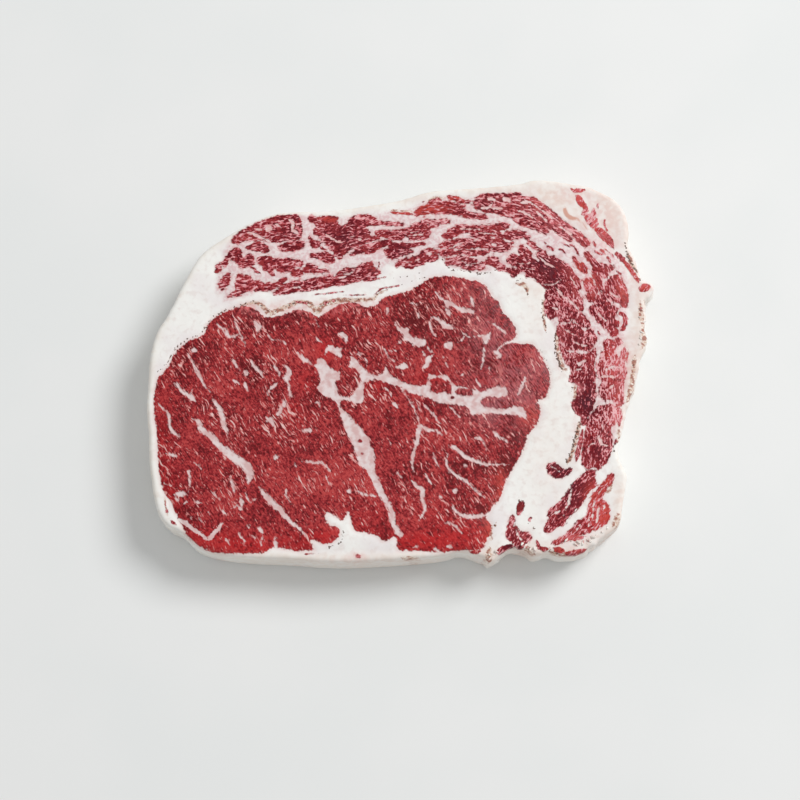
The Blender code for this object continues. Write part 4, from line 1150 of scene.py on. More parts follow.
def loop_depth(places, loop, reach=REACH, step=BROAD_STEP):
    """How deep each place lies inside a closed loop: negative outside, at least -reach."""
    ring = smooth_closed(loop, step)
    depth = np.full(len(places), -reach)
    near = (places > ring.min(0) - reach) & (places < ring.max(0) + reach)
    near = np.flatnonzero(near.all(1))
    edge = edge_distance(places[near], ring, reach)
    depth[near] = np.where(is_inside(places[near], ring), edge, -edge)
    return depth


def loops_depth(places, loops):
    """How deep each place lies in any of the closed loops."""
    return np.maximum.reduce([loop_depth(places, loop, STROKE_REACH, FINE_STEP) for loop in loops])


def soft_areas(places, areas):
    """The summed strength of soft round areas, up to a limit."""
    total = np.zeros(len(places))
    for x, y, reach_x, reach_y, strength in areas:
        away = ((places[:, 0] - x) / reach_x) ** 2 + ((places[:, 1] - y) / reach_y) ** 2
        total += strength * np.exp(-away)
    return np.minimum(total, SOFT_LIMIT)


def smooth_noise(places, wave, layer):
    """Soft noise from -1 to 1 at places of the plan or in space, about a wave from bump to bump."""
    spread = places / wave
    if spread.shape[1] == 2:
        spread = np.column_stack([spread, np.full(len(places), layer)])
    return np.array([noise.noise(Vector(p)) for p in spread])


def ease(low, high, values):
    """A smooth step from 0 at low to 1 at high."""
    t = np.clip((values - low) / (high - low), 0, 1)
    return t * t * (3 - 2 * t)


def layer_depths(places):
    """How deep each place lies in each muscle and each kind of vein, seam, streak and skin."""
    depths = {"eye": loop_depth(places, EYE, SWELL_REACH)}
    depths["cap"] = loop_depth(places, CAP, SWELL_REACH)
    depths["small"] = loops_depth(places, [INNER_STRIP, OUTER_STRIP, NUB, COMMA])
    lean = np.maximum.reduce([depths["eye"], loops_depth(places, BUNDLES), depths["small"]])
    depths["lean"] = np.minimum(lean, -loop_depth(places, POCKET))
    fork = np.minimum(loop_depth(places, FORK, STROKE_REACH), -loops_depth(places, ISLANDS))
    spots = [((w,), [(x - 0.05, y), (x + 0.05, y)]) for x, y, w in FAT_SPOTS]
    veins = [fork, stroke_depth(places, EYE_VEINS + spots), loops_depth(places, FAT_BLOBS)]
    depths["vein"] = np.maximum.reduce(veins)
    depths["seam"] = stroke_depth(places, CAP_SEAMS)
    depths["red"] = stroke_depth(places, RED_STREAKS)
    depths["tan"] = stroke_depth(places, TAN_BANDS)
    depths["sinew"] = stroke_depth(places, [SINEW])
    skins = ((0.1, FAINT_SKIN_LINES), (0.6, SKIN_LINES), (1.1, BOLD_SKIN_LINES))
    skin_strokes = [((width,), line) for width, lines in skins for line in lines]
    depths["skin"] = stroke_depth(places, skin_strokes)
    return depths


def is_near_an_edge(places):
    """Whether a place lies by the edge of a vein, a seam, a streak, a skin or a muscle."""
    depths = layer_depths(places)
    edges = np.minimum.reduce([abs(depths[name]) for name in ("lean", "vein", "seam", "red")])
    return (edges < EDGE_BAND) | (depths["skin"] > -EDGE_BAND)


def anatomy(places):
    """What the material reads at places of the plan, by name."""
    found = layer_depths(places)
    beyond_eye = np.maximum(found["cap"], found["small"]) - found["eye"]
    found["in_cap"] = ease(*CAP_BLEND, beyond_eye)
    in_strip = found["small"] > np.maximum(found["cap"], found["eye"])
    eye_grain = straight_grain(places, EYE_GRAIN_ANGLE)
    grain = np.where(beyond_eye[:, None] > 0, cap_grain(places), eye_grain)
    found["grain"] = np.where(in_strip[:, None], straight_grain(places, STRIP_GRAIN_ANGLE), grain)
    found["web"] = ease(*WEB_BLEND, found["cap"])
    found["lobule"] = soft_areas(places, LOBULE_AREAS) * ease(*EYE_BLEND, found["eye"])
    for name, areas in SOFT_LAYERS.items():
        found[name] = soft_areas(places, areas)
    return found


def straight_grain(places, degrees):
    """Places along and across straight fibres."""
    angle = math.radians(degrees)
    along = places[:, 0] * math.cos(angle) + places[:, 1] * math.sin(angle)
    across = places[:, 1] * math.cos(angle) - places[:, 0] * math.sin(angle)
    return np.column_stack([along, across])


def cap_grain(places):
    """Places along and across the cap's fibres, which follow its bend."""
    course = smooth_open(CAP_COURSE, per_span=10)
    lengths = path_lengths(course)
    best = np.full(len(places), np.inf)
    found = np.zeros((len(places), 2))
    for a, b, start in zip(course, course[1:], lengths):
        run = b - a
        length = np.linalg.norm(run)
        share = np.clip((places - a) @ run / length**2, 0, 1)
        off = places - a - share[:, None] * run
        gap = np.linalg.norm(off, axis=1)
        side = np.sign(run[0] * off[:, 1] - run[1] * off[:, 0])
        closer = gap < best
        best[closer] = gap[closer]
        found[closer] = np.column_stack([start + share * length, side * gap])[closer]
    return found


def slab_outline():
    """The edge of the cut face in the plan, with its tears and their strength.

    The rolled edge is seen from above a little inside the outline, so it's set out by as much,
    but for the front, where the side shows.
    """
    loop = smooth_closed(OUTLINE, EDGE_STEP)
    outset = EDGE_OUTSET * ease(FRONT_EDGE, FRONT_EDGE + FRONT_FADE, loop[:, 1]) - SIDE_BULGE
    ragged = np.zeros(len(loop))
    for place, reach in RAGGED_SPOTS:
        ragged = np.maximum(ragged, np.exp(-((np.linalg.norm(loop - place, axis=1) / reach) ** 2)))
    tear = TEAR_DEPTH * smooth_noise(loop, TEAR_WAVE, 8.3) * ragged
    tear += NICK_DEPTH * smooth_noise(loop, NICK_WAVE, 2.2)
    return loop + outward_normals(loop) * (tear + outset)[:, None], tear, ragged


def inner_row(loop, offset):
    """A row of points inside a loop, clear of its other side."""
    row = loop - outward_normals(loop) * offset
    is_clear = edge_distance(row, loop) > CLEAR_SHARE * offset
    return row[is_clear & is_inside(row, loop)]


def lattice(outline, step, clearance):
    """A triangular lattice inside the outline, with where each point stands in a coarser one."""
    (left, near), (right, far) = outline.min(0), outline.max(0)
    rows = np.arange(math.floor((far - near) / (step * ROW_SHARE)))
    columns = np.arange(math.floor((right - left) / step))
    column, row = [grid.ravel() for grid in np.meshgrid(columns, rows)]
    x = left + (column + row % 2 / 2) * step
    points = np.column_stack([x, near + row * step * ROW_SHARE])
    is_coarse = (row % 2 == 0) & ((column + row // 2) % 2 == 0)
    inside = is_inside(points, outline)
    points, is_coarse = points[inside], is_coarse[inside]
    is_clear = edge_distance(points, outline) > clearance
    return points[is_clear], is_coarse[is_clear]


def triangulated(outline, inner):
    """Plan points and triangles inside the outline, whose points come first."""
    count = len(outline)
    edges = [(k, (k + 1) % count) for k in range(count)]
    plan = [Vector(p) for p in np.vstack([outline, inner])]
    points, _, faces, *_ = delaunay_2d_cdt(plan, edges, [], 1, MERGE_GAP)
    points, faces = np.array([p[:] for p in points]), np.array(faces)
    (ax, ay), (bx, by) = [(points[faces[:, k]] - points[faces[:, 0]]).T for k in (1, 2)]
    turned = ax * by < ay * bx
    faces[turned] = faces[turned, ::-1]
    return points, faces


def rolled(to_rim, radius):
    """How far a rolled edge lies below its face at a distance from the rim."""
    inset = radius - np.minimum(to_rim, radius)
    return radius - np.sqrt(np.maximum(radius**2 - inset**2, 0))


def upper_face(outline):
    """Points and triangles of the upper cut face, finest by the edges of its layers."""
    rim = [inner_row(outline, ROLL_RADIUS * share) for share in TOP_RIM_SHARES]
    points, is_coarse = lattice(outline, TOP_STEP, ROLL_RADIUS + 0.5 * TOP_STEP)
    inner = points[is_coarse | is_near_an_edge(points)]
    return triangulated(outline, np.vstack([*rim, inner]))


def lower_face(outline):
    """Points and triangles of the underside."""
    rim = [inner_row(outline, FOOT_RADIUS * share) for share in FOOT_RIM_SHARES]
    points, _ = lattice(outline, UNDERSIDE_STEP, FOOT_RADIUS + 0.5 * UNDERSIDE_STEP)
    return triangulated(outline, np.vstack([*rim, points]))


def upper_height(points, outline, depths):
    """Height of the upper face, in millimetres."""
    height = THICKNESS - MUSCLE_SWELL + SAG_DEPTH * smooth_noise(points, SAG_WAVE, 3.7)
    for name in ("eye", "cap"):
        height += MUSCLE_SWELL * (1 - np.exp(-2 * np.maximum(depths[name], 0) / SWELL_REACH))
    height -= CREASE_DEPTH * np.exp(-((depths["lean"] / CREASE_WIDTH) ** 2))
    height -= VEIN_DEPTH * ease(*VEIN_BLEND, np.maximum(depths["vein"], depths["seam"]))
    height += LUMP_HEIGHT * smooth_noise(points, LUMP_WAVE, 6.4)
    return height - rolled(edge_distance(points, outline), ROLL_RADIUS)


def side_rings(outline, tear, ragged, top_edge):
    """Rings of the side from the upper face's edge down to the underside's edge."""
    normals = outward_normals(outline)
    around = np.arange(len(outline)) * EDGE_STEP
    rings = []
    for k in range(1, SIDE_RINGS):
        share = k / SIDE_RINGS
        height = top_edge + (FOOT_RADIUS - top_edge) * share
        at = np.column_stack([around, height])
        fade = np.sin(np.pi * share)
        out = SIDE_BULGE * fade**0.7 + RIPPLE_DEPTH * fade * smooth_noise(at, RIPPLE_WAVE, 1.3)
        out += RAGGED_DEPTH * fade * ragged * smooth_noise(at, RAGGED_WAVE, 5.1)
        out += PIT_DEPTH * smooth_noise(at * (1, 2), PIT_WAVE, 7.7) - TEAR_HEALING * tear * fade
        rings.append(np.column_stack([outline + normals * out[:, None], height]))
    return rings


def drifted(points, below_top):
    """Where in the plan the layers seen at a depth come from, as they wander and draw in."""
    sway = DEPTH_DRIFT * ease(*DRIFT_DEPTHS, below_top)
    across = smooth_noise(points / DRIFT_WAVE, 1, 0)
    along = smooth_noise(points / DRIFT_WAVE + DRIFT_SHIFT, 1, 0)
    spread = points[:, :2] * (1 + RETREAT * ease(*RETREAT_DEPTHS, below_top))[:, None]
    return spread + np.column_stack([across, along]) * sway[:, None]


def build_slab():
    """The steak as one closed mesh, with what its material reads stored at its points."""
    outline, tear, ragged = slab_outline()
    upper, upper_faces = upper_face(outline)
    lower, lower_faces = lower_face(outline)
    count = len(outline)
    upper_z = upper_height(upper, outline, layer_depths(upper))
    lower_z = rolled(edge_distance(lower, outline), FOOT_RADIUS)
    rings = side_rings(outline, tear, ragged, upper_z[:count])
    top, foot = np.column_stack([upper, upper_z]), np.column_stack([lower, lower_z])
    points = np.vstack([top, *rings, foot])

    below = len(upper) + len(rings) * count
    starts = [0, *range(len(upper), below, count), below]
    here = np.arange(count)
    after = (here + 1) % count
    sides = []
    for high, low in zip(starts, starts[1:]):
        sides.append(np.column_stack([here + high, after + high, after + low]))
        sides.append(np.column_stack([here + high, after + low, here + low]))
    faces = np.vstack([upper_faces, *sides, lower_faces[:, ::-1] + below])

    scale = (cad_high.z / MM) / points[:, 2].max()
    placed = (points - (*PLAN_MIDDLE, 0)) * (1, 1, scale) * MM
    data = bpy.data.meshes.new("steak_meat")
    data.from_pydata(placed.tolist(), [], faces.tolist())
    data.shade_smooth()
    steak = bpy.data.objects.new("steak_meat", data)
    bpy.context.scene.collection.objects.link(steak)

    below_top = np.maximum(THICKNESS - SURFACE_DEPTH - points[:, 2], 0)
    outer = np.concatenate([
        ease(REACH, 0, edge_distance(upper, outline)),
        np.ones(len(rings) * count),
        ease(REACH, 0, edge_distance(lower, outline)),
    ])
    store_layers(data, points, below_top, outer)
    store_unwrap(data, points, faces, count, len(upper_faces), len(sides))
    return steak


def store_layers(data, points, below_top, outer):
    """Stores at each point where it lies in the anatomy, for the material to read."""
    found = anatomy(drifted(points, below_top))
    grain = np.column_stack([found.pop("grain"), below_top])
    found["outer"] = outer
    for name in MATERIAL_LAYERS:
        data.attributes.new(name, "FLOAT", "POINT").data.foreach_set("value", found[name])
    data.attributes.new("grain", "FLOAT_VECTOR", "POINT").data.foreach_set("vector", grain.ravel())


def store_unwrap(data, points, faces, count, upper_count, row_count):
    """Unwraps the mesh: the upper face large, the underside smaller, the side in strips."""
    place = np.zeros((len(faces), 3, 2))
    upper = slice(0, upper_count)
    side = slice(upper_count, upper_count + row_count * count)
    under = slice(side.stop, None)
    plan = (points[faces][..., :2] - points.min(0)[:2]) / np.ptp(points[:, 0])
    place[upper] = MAP_MARGIN + plan[upper] * TOP_SHARE
    place[under] = MAP_MARGIN + plan[under] * UNDER_SHARE + (0, LOWER_ZONE)

    per_strip = math.ceil(count / SIDE_STRIPS)
    strip, column = np.divmod(np.tile(np.arange(count), row_count), per_strip)
    ahead = np.vstack([np.tile(SIDE_CORNERS[k % 2], (count, 1)) for k in range(row_count)])
    place[side, :, 0] = 1 - MAP_MARGIN - STRIP_SHARE * (1 - (column[:, None] + ahead) / per_strip)
    down = STRIP_HEIGHT * (1 - points[faces[side]][..., 2] / THICKNESS)
    strip_start = LOWER_ZONE + MAP_MARGIN + strip[:, None] * (STRIP_HEIGHT + MAP_MARGIN)
    place[side, :, 1] = strip_start + down
    data.uv_layers.new(name="OFBake").data.foreach_set("uv", place.ravel())


class Graph:
    """Adds nodes to a tree and joins them. A value is a socket or a plain number or colour."""

    def __init__(self, tree):
        self.tree = tree

    def fill(self, made, values):
        """Gives a node its inputs, by name or place."""
        for key, value in values.items():
            if isinstance(value, bpy.types.NodeSocket):
                self.tree.links.new(value, made.inputs[key])
            else:
                made.inputs[key].default_value = value

    def node(self, kind, values, **settings):
        """A new node with its settings and its inputs."""
        made = self.tree.nodes.new(kind)
        for name, value in settings.items():
            setattr(made, name, value)
        self.fill(made, values)
        return made

    def first(self, kind, values, **settings):
        """The first output of a new node."""
        return self.node(kind, values, **settings).outputs[0]

    def maths(self, operation, *values):
        return self.first("ShaderNodeMath", dict(enumerate(values)), operation=operation)

    def vector(self, operation, values):
        return self.first("ShaderNodeVectorMath", values, operation=operation)

    def chain(self, operation, values):
        """All the values joined in turn by one operation."""
        result = values[0]
        for value in values[1:]:
            result = self.maths(operation, result, value)
        return result

    def plus(self, *values):
        return self.chain("ADD", values)

    def times(self, *values):
        return self.chain("MULTIPLY", values)

    def rest(self, share):
        """What a share leaves of one."""
        return self.maths("SUBTRACT", 1.0, share)

    def swing(self, noise_value, strength):
        """Noise about its middle value, made as strong as asked."""
        return self.times(self.maths("SUBTRACT", noise_value, 0.5), strength)

    def step(self, value, low, high, bottom=0.0, top=1.0):
        """A smooth step between two levels of a value."""
        values = dict(enumerate((value, low, high, bottom, top)))
        return self.first("ShaderNodeMapRange", values, interpolation_type="SMOOTHSTEP")

    def mix(self, factor, first, second):
        values = {0: factor, 6: first, 7: second}
        return self.node("ShaderNodeMix", values, data_type="RGBA").outputs[2]

    def tinted(self, colour, *tints):
        """A colour with others laid over it in turn, each given by its share and itself."""
        for share, tint in tints:
            colour = self.mix(share, colour, tint)
        return colour

    def scaled(self, place, waves, layer=0.0):
        """A place divided by a wave length in millimetres, or one each way, on its own layer."""
        each_way = waves if isinstance(waves, tuple) else (waves, waves, waves)
        shares = tuple(1 / wave for wave in each_way)
        shift = (layer, layer * 1.7, layer * 0.6)
        return self.vector("MULTIPLY_ADD", {0: place, 1: shares, 2: shift})

    def noise(self, place, waves, layer=0.0, detail=1.0, output=0):
        """Soft noise of the given wave lengths in millimetres."""
        values = {"Vector": self.scaled(place, waves, layer), "Scale": 1.0, "Detail": detail}
        return self.node("ShaderNodeTexNoise", values).outputs[output]

    def cell_lines(self, place, waves, layer, width):
        """Lines between irregular cells, of a width in cells."""
        values = {"Vector": self.scaled(place, waves, layer), "Scale": 1.0}
        made = self.node("ShaderNodeTexVoronoi", values, feature="DISTANCE_TO_EDGE")
        return self.rest(self.step(made.outputs["Distance"], 0.0, width))

    def swayed(self, place, waves, reach, layer):
        """A place moved by soft noise, by up to about a reach in millimetres."""
        drift = self.noise(place, waves, layer, output=1)
        shift = self.vector("MULTIPLY_ADD", {0: drift, 1: (reach,) * 3, 2: (-reach / 2,) * 3})
        return self.vector("ADD", {0: place, 1: shift})

    def ramp(self, value, stops):
        """A colour read from stops, each a level and a colour."""
        made = self.node("ShaderNodeValToRGB", {0: value})
        elements = made.color_ramp.elements
        while len(elements) < len(stops):
            elements.new(1.0)
        for element, (level, colour) in zip(elements, stops):
            element.position = level
            element.color = colour
        return made.outputs[0]


def shader_group(name, vectors, values):
    """A new group of shader nodes: its graph, and its inputs' sockets by name."""
    tree = bpy.data.node_groups.new(name, "ShaderNodeTree")
    for labels, in_out, kind in (
        (vectors, "INPUT", "NodeSocketVector"),
        (values, "INPUT", "NodeSocketFloat"),
        (("Colour",), "OUTPUT", "NodeSocketColor"),
        (("Roughness", "Height"), "OUTPUT", "NodeSocketFloat"),
    ):
        for label in labels:
            tree.interface.new_socket(label, in_out=in_out, socket_type=kind)
    return Graph(tree), tree.nodes.new("NodeGroupInput").outputs


def finish_group(g, colour, roughness, height):
    """Joins a group's results to its outputs, and gives the group."""
    g.node("NodeGroupOutput", {"Colour": colour, "Roughness": roughness, "Height": height})
    return g.tree


def fat_group():
    """Raw beef fat: warm white, lilac where it is thin, with faint grains and threads."""
    g, source = shader_group("raw fat", ("Place",), ("Outer", "Thin", "Web", "Beige", "Pink"))
    place = source["Place"]
    swayed = g.swayed(place, 5, 2.0, 3.0)
    broad = g.noise(place, (13, 13, 9), 1.0, 2.0)
    fine = g.noise(swayed, 2.4, 2.0, 2.0)
    grain_lines = g.cell_lines(swayed, 2.6, 4.0, 0.3)
    creamy = g.step(g.plus(broad, g.swing(fine, 0.6)), 0.3, 0.65, 0.1, 0.55)
    web_tone = g.step(g.noise(place, 1.2, 27.0), 0.38, 0.62)
    colour = g.tinted(
        g.mix(g.step(broad, 0.42, 0.7), FAT_WHITE, FAT_LILAC),
        (g.times(g.step(fine, 0.5, 0.72), 0.5), FAT_SHADE),
        (g.times(grain_lines, 0.07), FAT_SHADE),
        (g.times(source["Outer"], creamy), FAT_CREAM),
        # A pale brownish tint, which at the right of the eye is painted shade
        (g.times(source["Beige"], g.step(fine, 0.3, 0.65, 0.5, 1.0)), FAT_BEIGE),
        (source["Thin"], g.mix(g.step(fine, 0.36, 0.66), VEIN_PALE, VEIN_PINK)),
        (source["Web"], g.mix(web_tone, WEB_PALE, WEB_PINK)),
        (g.times(source["Pink"], g.step(fine, 0.3, 0.65, 0.15, 0.6)), FAT_BLUSH),
    )
    height = g.plus(g.times(g.rest(grain_lines), 0.02), g.times(fine, 0.08), g.times(broad, 0.2))
    return finish_group(g, colour, g.step(fine, 0.3, 0.7, 0.42, 0.56), height)


def eye_marbling(g, source, grain, thread, patch):
    """How much fat stands at each place of the eye: specks, dashes and lines round lobules."""
    speck = g.plus(g.noise(grain, (1.8, 0.55, 1.4), 17.0), g.swing(patch, 0.3))
    dash = g.noise(grain, (3.2, 0.8, 2.6), 7.0, 1.5)
    level = g.plus(dash, g.swing(thread, 0.5), g.swing(patch, 0.35))
    flecks = g.maths("MAXIMUM", g.step(speck, 0.56, 0.84, 0.0, 0.6), g.step(level, 0.62, 0.84))
    lobe_lines = g.cell_lines(g.swayed(source["Place"], 3, 1.0, 12.0), (4.6, 5.4, 5.4), 13.0, 0.12)
    lobe_fat = g.times(lobe_lines, source["Lobule"], g.step(thread, 0.4, 0.66), 0.22)
    return g.maths("MAXIMUM", flecks, lobe_fat)


def cap_marbling(g, source, grain, grit):
    """How much fat stands at each place of the cap: threads round its many thin bundles."""
    between = g.cell_lines(g.swayed(grain, (2.5, 2, 2.5), 1.0, 9.0), (3.6, 1.5, 3.0), 10.0, 0.16)
    cell_place = g.swayed(source["Place"], 1.6, 0.9, 22.0)
    level = g.plus(
        g.noise(grain, (1.7, 0.55, 1.5), 11.0, 2.0),
        g.times(between, 0.15),
        g.swing(g.noise(grain, (5.5, 2.4, 4.5), 18.0), 0.42),
        g.times(g.cell_lines(cell_place, (1.3, 1.6, 1.8), 23.0, 0.26), source["Leg"], 0.17),
        g.times(source["Pink"], 0.07),
        g.times(source["Dusk"], -0.09),
        g.swing(grit, 0.25),
        g.times(source["Leg"], -0.1),
        g.times(source["Amber"], g.step(source["Leg"], 0.3, 0.8, -0.09, 0.06)),
    )
    return g.step(level, 0.52, 0.8)


def lean_group():
    """Marbled lean: red fibres along the grain, with flecks and threads of fat among them."""
    labels = ("Cap", *[name.capitalize() for name in LEAN_AREAS])
    g, source = shader_group("marbled lean", ("Place", "Grain"), labels)
    place = source["Place"]
    grain = g.swayed(source["Grain"], 7, 3.2, 5.0)
    patch = g.noise(place, 13, 6.0)
    grit = g.noise(place, 0.75, 26.0)
    thread = g.noise(grain, (9.0, 2.0, 6.0), 8.0)
    eye_fat = eye_marbling(g, source, grain, thread, patch)
    cap_fat = cap_marbling(g, source, grain, grit)

    fibre = g.noise(grain, (2.4, 0.45, 2.0), 14.0, 2.0)
    mottle = g.noise(place, 1.5, 15.0, 2.0)
    tone = g.plus(
        g.swing(fibre, 1.4),
        g.swing(mottle, 1.0),
        g.swing(g.noise(place, 15, 16.0), 0.9),
        g.swing(grit, 1.1),
    )
    sharper = g.plus(1.0, g.times(source["Cap"], 0.8))
    # Painted shade darkens the softly lit parts of the eye, and the cap's leg is darker too
    deeper = g.plus(g.times(source["Deep"], -0.11), g.times(source["Leg"], -0.05))
    tone = g.plus(0.485, g.times(tone, sharper), deeper)
    crimson = g.step(source["Bright"], 0.2, 1.0, 0.5, 0.08)
    # Where the painted sheen shows, in patches along the fibres
    hazy = g.step(g.plus(fibre, g.swing(patch, 0.6)), 0.3, 0.62)
    lean = g.tinted(
        g.ramp(tone, [(0.2, LEAN_DARK), (0.5, LEAN_MIDDLE), (0.82, LEAN_LIGHT)]),
        (g.times(source["Bright"], g.step(mottle, 0.27, 0.56), 0.8), LEAN_BRIGHT),
        (g.times(source["Cap"], crimson), LEAN_CRIMSON),
        (g.times(source["Dusk"], g.step(mottle, 0.3, 0.6), 0.8), LEAN_DUSK),
        # Painted sheen: pale pink laid over the lean where it catches the glare
        (g.times(source["Haze"], hazy, 0.55), LEAN_HAZE),
        (g.times(source["Amber"], g.step(fibre, 0.22, 0.6), 0.9), LEAN_AMBER),
        (g.times(source["Pink"], g.step(mottle, 0.35, 0.65), 0.7), LEAN_PINK),
    )

    fat = g.mix(source["Cap"], eye_fat, cap_fat)
    eye_fleck = g.ramp(fat, [(0.0, FLECK_PINK), (0.5, FLECK_ROSE), (1.0, FLECK_PALE)])
    cap_fleck = g.ramp(fat, [(0.0, CAP_PINK), (0.45, CAP_ROSE), (1.0, CAP_PALE)])
    fleck = g.mix(source["Cap"], eye_fleck, cap_fleck)
    colour = g.mix(g.step(fat, 0.0, 0.42), lean, fleck)
    height = g.plus(g.times(fibre, 0.12), g.times(mottle, 0.16), g.times(fat, 0.06))
    return finish_group(g, colour, g.step(mottle, 0.3, 0.7, 0.36, 0.52), height)


def new_material(name):
    """A material, its shader, its graph and the place on the object in millimetres."""
    material = bpy.data.materials.new(name)
    material.use_nodes = True
    g = Graph(material.node_tree)
    place = g.node("ShaderNodeTexCoord", {}).outputs["Object"]
    shader = material.node_tree.nodes["Principled BSDF"]
    return material, shader, g, g.vector("SCALE", {0: place, 3: 1 / MM})


def meat_material(fat, lean):
    """The whole steak: lean and fat parted by the stored layers, with ragged edges."""
    material, shader, g, place = new_material("marbled beef")
    layer = {}
    for name in MATERIAL_LAYERS:
        layer[name] = g.node("ShaderNodeAttribute", {}, attribute_name=name).outputs["Fac"]
    grain = g.node("ShaderNodeAttribute", {}, attribute_name="grain").outputs["Vector"]
    ragged = g.noise(place, 1.3, 20.0, 2.0)
    tattered = g.noise(grain, (2.6, 0.7, 2.2), 21.0)
    dots = g.noise(place, 0.9, 24.0)

    def spread(depth, low, high, *swings):
        """Where a layer lies, its edge made uneven by noises, each with a strength."""
        return g.step(g.plus(depth, *[g.swing(*swing) for swing in swings]), low, high)

    lean_depth = g.plus(layer["lean"], g.times(layer["in_cap"], 0.5), g.times(layer["leg"], 0.15))
    in_lean = spread(lean_depth, -0.25, 0.3, (ragged, 1.6), (tattered, 1.2))
    in_vein = spread(layer["vein"], -0.18, 0.5, (ragged, 1.3), (tattered, 1.5))
    in_seam = spread(layer["seam"], -0.12, 0.25, (ragged, 1.3), (tattered, 0.9))
    shallow = g.step(g.node("ShaderNodeSeparateXYZ", {0: grain}).outputs[2], 0.6, 4.5, 1.0, 0.0)
    in_red = g.times(spread(layer["red"], -0.15, 0.3, (ragged, 1.2)), shallow)
    in_skin = g.times(spread(layer["skin"], 0.18, 0.4, (ragged, 0.5), (dots, 2.8)), shallow)
    in_tan = spread(layer["tan"], -0.2, 0.4, (ragged, 1.2), (dots, 0.8))
    in_tan = g.times(in_tan, g.plus(0.25, g.times(shallow, 0.75)))
    in_sinew = spread(layer["sinew"], -0.3, 0.4, (ragged, 0.5))
    torn = g.times(in_tan, g.step(g.noise(place, (1.7, 1.5, 1.5), 25.0, 2.0), 0.46, 0.57))

    lean_values = {"Place": place, "Grain": grain, "Cap": layer["in_cap"]}
    lean_values.update({name.capitalize(): layer[name] for name in LEAN_AREAS})
    lean_part = g.node("ShaderNodeGroup", lean_values, node_tree=lean).outputs
    in_eye = g.times(g.step(layer["lean"], 0.2, 1.2), g.step(layer["in_cap"], 0.0, 1.0, 1.0, 0.25))
    fat_values = {
        "Place": place, "Outer": layer["outer"], "Thin": in_eye, "Web": g.times(layer["web"], 0.9),
        "Beige": layer["beige"], "Pink": layer["pink"],
    }
    fat_part = g.node("ShaderNodeGroup", fat_values, node_tree=fat).outputs

    near_vein = g.step(layer["vein"], 0.0, 1.1, 1.0, 0.15)
    near_lean = g.times(g.step(layer["lean"], -1.6, 0.1), near_vein)
    bloom = g.times(near_lean, layer["web"], g.step(tattered, 0.46, 0.62))
    tan_tone = g.ramp(dots, [(0.4, SKIN_TAN), (0.55, FAT_BEIGE), (0.68, FAT_CREAM)])
    fat_colour = g.tinted(
        fat_part["Colour"],
        (g.plus(g.times(near_lean, 0.35), g.times(bloom, 0.65)), FAT_BLUSH),
        (g.times(in_tan, 0.8), tan_tone),
        (g.times(torn, 0.85), TORN_BROWN),
        (g.times(in_skin, 0.9), SKIN_BROWN),
        (g.times(in_sinew, 0.9), SINEW_PEACH),
    )
    open_lean = g.times(in_lean, g.rest(g.maths("MAXIMUM", in_vein, in_seam)))
    share = g.maths("MAXIMUM", open_lean, in_red)
    rough, height = [
        g.plus(g.times(share, lean_part[label]), g.times(g.rest(share), fat_part[label]))
        for label in ("Roughness", "Height")
    ]
    relief = {"Strength": 0.7, "Distance": MM, "Height": g.plus(height, g.times(share, 0.12))}
    g.fill(shader, {
        "Base Color": g.mix(share, fat_colour, lean_part["Colour"]),
        "Roughness": rough,
        "Normal": g.first("ShaderNodeBump", relief),
        "Specular IOR Level": 0.2,
    })
    return material


def shred_tree(material):
    """The node tree that scatters small closed shreds along a path."""
    tree = bpy.data.node_groups.new("torn shreds", "GeometryNodeTree")
    tree.interface.new_socket("Rim path", in_out="INPUT", socket_type="NodeSocketGeometry")
    for label in ("Spacing", "Length", "Width", "Thickness", "Scatter"):
        tree.interface.new_socket(label, in_out="INPUT", socket_type="NodeSocketFloat")
    tree.interface.new_socket("Seed", in_out="INPUT", socket_type="NodeSocketInt")
    tree.interface.new_socket("Shreds", in_out="OUTPUT", socket_type="NodeSocketGeometry")
    g = Graph(tree)
    source = tree.nodes.new("NodeGroupInput").outputs

    def drawn(low, high):
        """A random vector for each shred, between two others."""
        values = {0: low, 1: high, 8: source["Seed"]}
        return g.first("FunctionNodeRandomValue", values, data_type="FLOAT_VECTOR")

    curve = g.first("GeometryNodeMeshToCurve", {"Mesh": source["Rim path"]})
    spots = {"Curve": curve, "Length": source["Spacing"]}
    row = g.first("GeometryNodeResampleCurve", spots, mode="LENGTH")
    reach = g.first("ShaderNodeCombineXYZ", dict.fromkeys(range(3), source["Scatter"]))
    scatter = drawn(g.vector("SCALE", {0: reach, 3: -1.0}), reach)
    row = g.first("GeometryNodeSetPosition", {"Geometry": row, "Offset": scatter})

    bead = g.first("GeometryNodeMeshIcoSphere", {"Radius": 0.5, "Subdivisions": 2})
    lumps = g.node("ShaderNodeTexNoise", {"Scale": 2.2, "Detail": 1.0}).outputs["Color"]
    bend = g.vector("MULTIPLY_ADD", {0: lumps, 1: (0.9, 0.9, 0.9), 2: (-0.45, -0.45, -0.45)})
    shred = g.first("GeometryNodeSetPosition", {"Geometry": bead, "Offset": bend})
    shred = g.first("GeometryNodeSetShadeSmooth", {"Geometry": shred})
    sides = {0: source["Length"], 1: source["Width"], 2: source["Thickness"]}
    shape = g.first("ShaderNodeCombineXYZ", sides)
    size = g.vector("MULTIPLY", {0: shape, 1: drawn((0.4, 0.5, 0.5), (1.2, 1.3, 1.2))})
    turn = drawn((-0.5, -0.5, -math.pi), (0.5, 0.5, math.pi))
    many = {"Points": row, "Instance": shred, "Rotation": turn, "Scale": size}
    made = g.first("GeometryNodeInstanceOnPoints", many)
    made = g.first("GeometryNodeRealizeInstances", {"Geometry": made})
    made = g.first("GeometryNodeSetMaterial", {"Geometry": made, "Material": material})
    g.node("NodeGroupOutput", {0: made})
    return tree


